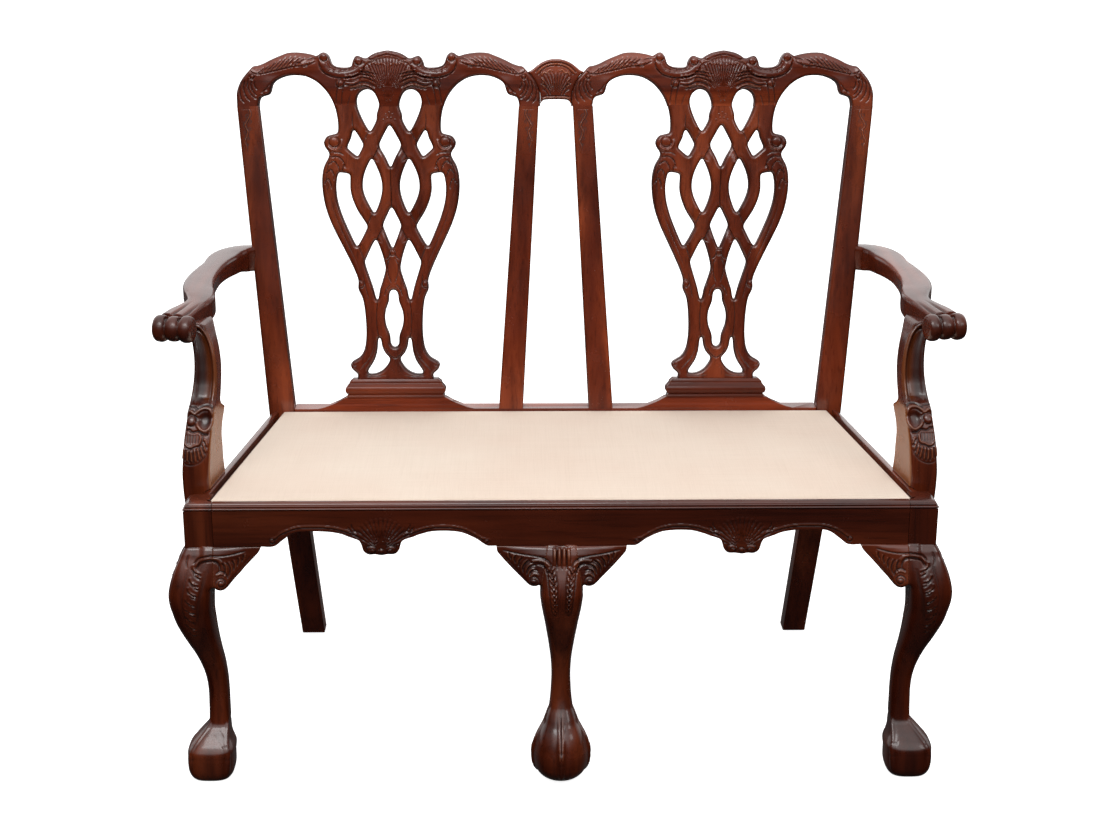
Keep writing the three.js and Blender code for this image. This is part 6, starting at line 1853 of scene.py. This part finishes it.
def seat():
    X, V, Z = seat_surface(0.0, 0.0)
    P = np.stack([X.ravel(), V.ravel(), Z.ravel()], 1)
    Q, ring = grid_faces(*X.shape)
    b, m, n = P[ring], len(ring), len(P)
    pts, faces, prev = [P], [Q], ring
    # down the sides, turned under the frame, back inside and up again
    for z, inset in ((432.0, 0.0), (424.0, 0.15), (416.0, 0.3), (412.9, 1.0), (412.2, 2.4), (412.2, 24.0), (413.1, 24.0), (413.3, 2.6), (416.0, 1.5), (431.0, 1.4)):
        pts.append(shrink(b, inset, z))
        f, prev = wall(prev, n, m)
        faces.append(f)
        n += m
    under = shrink(P, 1.4, None)
    under[:, 2] = P[:, 2] - 1.2
    pts.append(under)
    faces.append(Q[:, ::-1] + n)
    faces.append(np.stack([prev, ring + n, np.roll(ring, -1) + n, np.roll(prev, -1)], 1))
    return np.vstack(pts), faces


def pad():
    X, V, Z = seat_surface(2.0, 1.7, 80, 36)
    P = np.stack([X.ravel(), V.ravel(), Z.ravel()], 1)
    Q, ring = grid_faces(*X.shape)
    b, m, n = P[ring], len(ring), len(P)
    pts, faces, prev = [P], [Q], ring
    pts.append(shrink(b, 0.3, 433.4))
    f, prev = wall(prev, n, m)
    faces.append(f)
    n += m
    low = shrink(P, 1.2, None)
    # the underside bellies a little between the webbing
    low[:, 2] = 432.9 + 0.25 * np.sin(low[:, 0] / 16.0) * np.sin(low[:, 1] / 16.0)
    pts.append(low)
    faces.append(Q[:, ::-1] + n)
    faces.append(np.stack([prev, ring + n, np.roll(ring, -1) + n, np.roll(prev, -1)], 1))
    return np.vstack(pts), faces


P, g = seat()
cover = make("seat_cover_cloth", P, g, M_CALICO, body="seat", nodes=["seat_cover"], slot="calico_cover", angle=0)
P, g = pad()
stuffing = make("seat_stuffing", P, g, M_HESSIAN, body="seat", nodes=["seat_pad"], slot="stuffing", angle=0)


def webbing():
    """jute straps laid over and under each other across the loose frame"""
    parts = []
    y0, y1, px, py = 14.6, 445.2, 103.5, 101.0
    xs = [(j - 4) * px for j in range(9)]
    ys = [78.4 + i * py for i in range(4)]
    for i, yc in enumerate(ys):
        w = seat_x(yc) - 8.0
        rings = []
        for x in np.linspace(-w, w, 150):
            z = 431.3 + 0.42 * (-1) ** i * math.cos(math.pi * (x - xs[0]) / px)
            rings.append(round_ring([(x, yc - 25, z - 0.4), (x, yc + 25, z - 0.4), (x, yc + 25, z + 0.4), (x, yc - 25, z + 0.4)], 0.3, 2))
        parts.append(loft(rings))
    for j, xc in enumerate(xs):
        rings = []
        for y in np.linspace(y0, y1, 70):
            k = 1 - 0.1335 * (y - 230) / 522.6 * (abs(xc) / 480.0)
            z = 431.3 - 0.42 * (-1) ** j * math.cos(math.pi * (y - ys[0]) / py)
            rings.append(round_ring([(xc * k - 25, y, z - 0.4), (xc * k + 25, y, z - 0.4), (xc * k + 25, y, z + 0.4), (xc * k - 25, y, z + 0.4)], 0.3, 2))
        parts.append(loft(rings))
    return join(*parts)


P, g = webbing()
make("seat_webbing_straps", P, g, M_WEBBING, body="seat", nodes=["seat_webbing"], slot="webbing", angle=35)

# ------------------------------------------------------------------ camera, light, floor
eye = np.array([-0.063, -2.8863, 1.412])
yaw, pitch, roll = math.radians(0.99), math.radians(17.72), math.radians(0.12)
fwd = np.array([math.sin(yaw) * math.cos(pitch), math.cos(yaw) * math.cos(pitch), -math.sin(pitch)])
right = np.array([math.cos(yaw), -math.sin(yaw), 0.0])
up = np.cross(right, fwd)
r2 = math.cos(roll) * right + math.sin(roll) * up
u2 = -math.sin(roll) * right + math.cos(roll) * up
cam_data = bpy.data.cameras.new("camera")
cam_data.sensor_fit = "HORIZONTAL"
cam_data.sensor_width = 36.0
cam_data.lens = 36.0 * 1898.0 / 1100.0
cam_data.clip_end = 60.0
cam = bpy.data.objects.new("camera", cam_data)
bpy.context.scene.collection.objects.link(cam)
cam.matrix_world = Matrix(((r2[0], u2[0], -fwd[0], eye[0]), (r2[1], u2[1], -fwd[1], eye[1]), (r2[2], u2[2], -fwd[2], eye[2]), (0, 0, 0, 1)))
bpy.context.scene.camera = cam

world = bpy.data.worlds.new("studio")
bpy.context.scene.world = world
world.use_nodes = True
W = world.node_tree
W.nodes.clear()


def wnode(kind, **kw):
    n = W.nodes.new(kind)
    for k, v in kw.items():
        setattr(n, k, v)
    return n


def wramp(src, stops):
    n = wnode("ShaderNodeValToRGB")
    el = n.color_ramp.elements
    while len(el) < len(stops):
        el.new(0.5)
    for e, (p, v) in zip(el, stops):
        e.position, e.color = p, (v, v, v, 1)
    W.links.new(src, n.inputs[0])
    return n.outputs[0]


# studio: dim in front and below, a soft ceiling, a bright backdrop behind; white to the eye
wc = wnode("ShaderNodeTexCoord")
wsep = wnode("ShaderNodeSeparateXYZ")
W.links.new(wc.outputs["Generated"], wsep.inputs[0])
wz = wnode("ShaderNodeMath", operation="MULTIPLY_ADD")
W.links.new(wsep.outputs[2], wz.inputs[0])
wz.inputs[1].default_value, wz.inputs[2].default_value = 0.5, 0.5
wy = wnode("ShaderNodeMapRange", interpolation_type="SMOOTHSTEP")
W.links.new(wsep.outputs[1], wy.inputs["Value"])
wy.inputs["From Min"].default_value, wy.inputs["From Max"].default_value = 0.0, 0.6
front = wramp(wz.outputs[0], [(0.0, 0.012), (0.47, 0.014), (0.54, 0.02), (0.62, 0.05), (0.69, 0.26), (0.75, 0.72), (0.88, 0.80), (1.0, 0.55)])
behind = wramp(wz.outputs[0], [(0.0, 0.02), (0.485, 0.04), (0.51, 0.50), (0.60, 0.62), (0.70, 0.66), (0.78, 0.58), (0.9, 0.52), (1.0, 0.55)])
wm = wnode("ShaderNodeMix", data_type="RGBA")
W.links.new(wy.outputs["Result"], wm.inputs["Factor"])
# away from the middle the front is darker still
wax = wnode("ShaderNodeMath", operation="ABSOLUTE")
W.links.new(wsep.outputs[0], wax.inputs[0])
wside = wnode("ShaderNodeMapRange", interpolation_type="SMOOTHSTEP")
W.links.new(wax.outputs[0], wside.inputs["Value"])
wside.inputs["From Min"].default_value, wside.inputs["From Max"].default_value = 0.30, 0.62
wside.inputs["To Min"].default_value, wside.inputs["To Max"].default_value = 1.0, 0.22
wdim = wnode("ShaderNodeVectorMath", operation="SCALE")
W.links.new(front, wdim.inputs[0])
W.links.new(wside.outputs["Result"], wdim.inputs["Scale"])
W.links.new(wdim.outputs[0], wm.inputs[6])
W.links.new(behind, wm.inputs[7])
lit = wnode("ShaderNodeBackground")
lit.inputs[1].default_value = 2.0
W.links.new(wm.outputs[2], lit.inputs[0])
plain = wnode("ShaderNodeBackground")
plain.inputs[0].default_value = (1, 1, 1, 1)
path = wnode("ShaderNodeLightPath")
wmix = wnode("ShaderNodeMixShader")
wout = wnode("ShaderNodeOutputWorld")
W.links.new(path.outputs["Is Camera Ray"], wmix.inputs[0])
W.links.new(lit.outputs[0], wmix.inputs[1])
W.links.new(plain.outputs[0], wmix.inputs[2])
W.links.new(wmix.outputs[0], wout.inputs[0])


def area(name, loc, target, size, power, colour=(1, 1, 1)):
    L = bpy.data.lights.new(name, "AREA")
    L.shape = "RECTANGLE"
    L.size, L.size_y = size
    L.energy = power
    L.color = colour
    ob = bpy.data.objects.new(name, L)
    ob.location = loc
    d = Vector(target) - Vector(loc)
    ob.rotation_euler = d.to_track_quat("-Z", "Y").to_euler()
    bpy.context.scene.collection.objects.link(ob)
    return ob


area("key", (-0.5, -1.5, 2.45), (0, 0.15, 0.75), (1.5, 0.7), 20.5)
area("fill", (1.9, -1.7, 1.9), (0, 0.1, 0.7), (0.7, 0.7), 5)

fm = Nodes("floor_paper")
fm.bsdf.inputs["Base Color"].default_value = (0.93, 0.93, 0.93, 1)
fm.bsdf.inputs["Roughness"].default_value = 0.9
fm.bsdf.inputs["Specular IOR Level"].default_value = 0.1
fm.bsdf.inputs["Emission Color"].default_value = (1, 1, 1, 1)
fm.bsdf.inputs["Emission Strength"].default_value = 0.85
bpy.ops.mesh.primitive_plane_add(size=60, location=(0, 0, -0.0005))
floor = bpy.context.object
floor.name = "floor"
floor.data.materials.append(fm.mat)
floor.visible_glossy = False
floor.visible_diffuse = False

bpy.context.scene.view_settings.view_transform = "Standard"
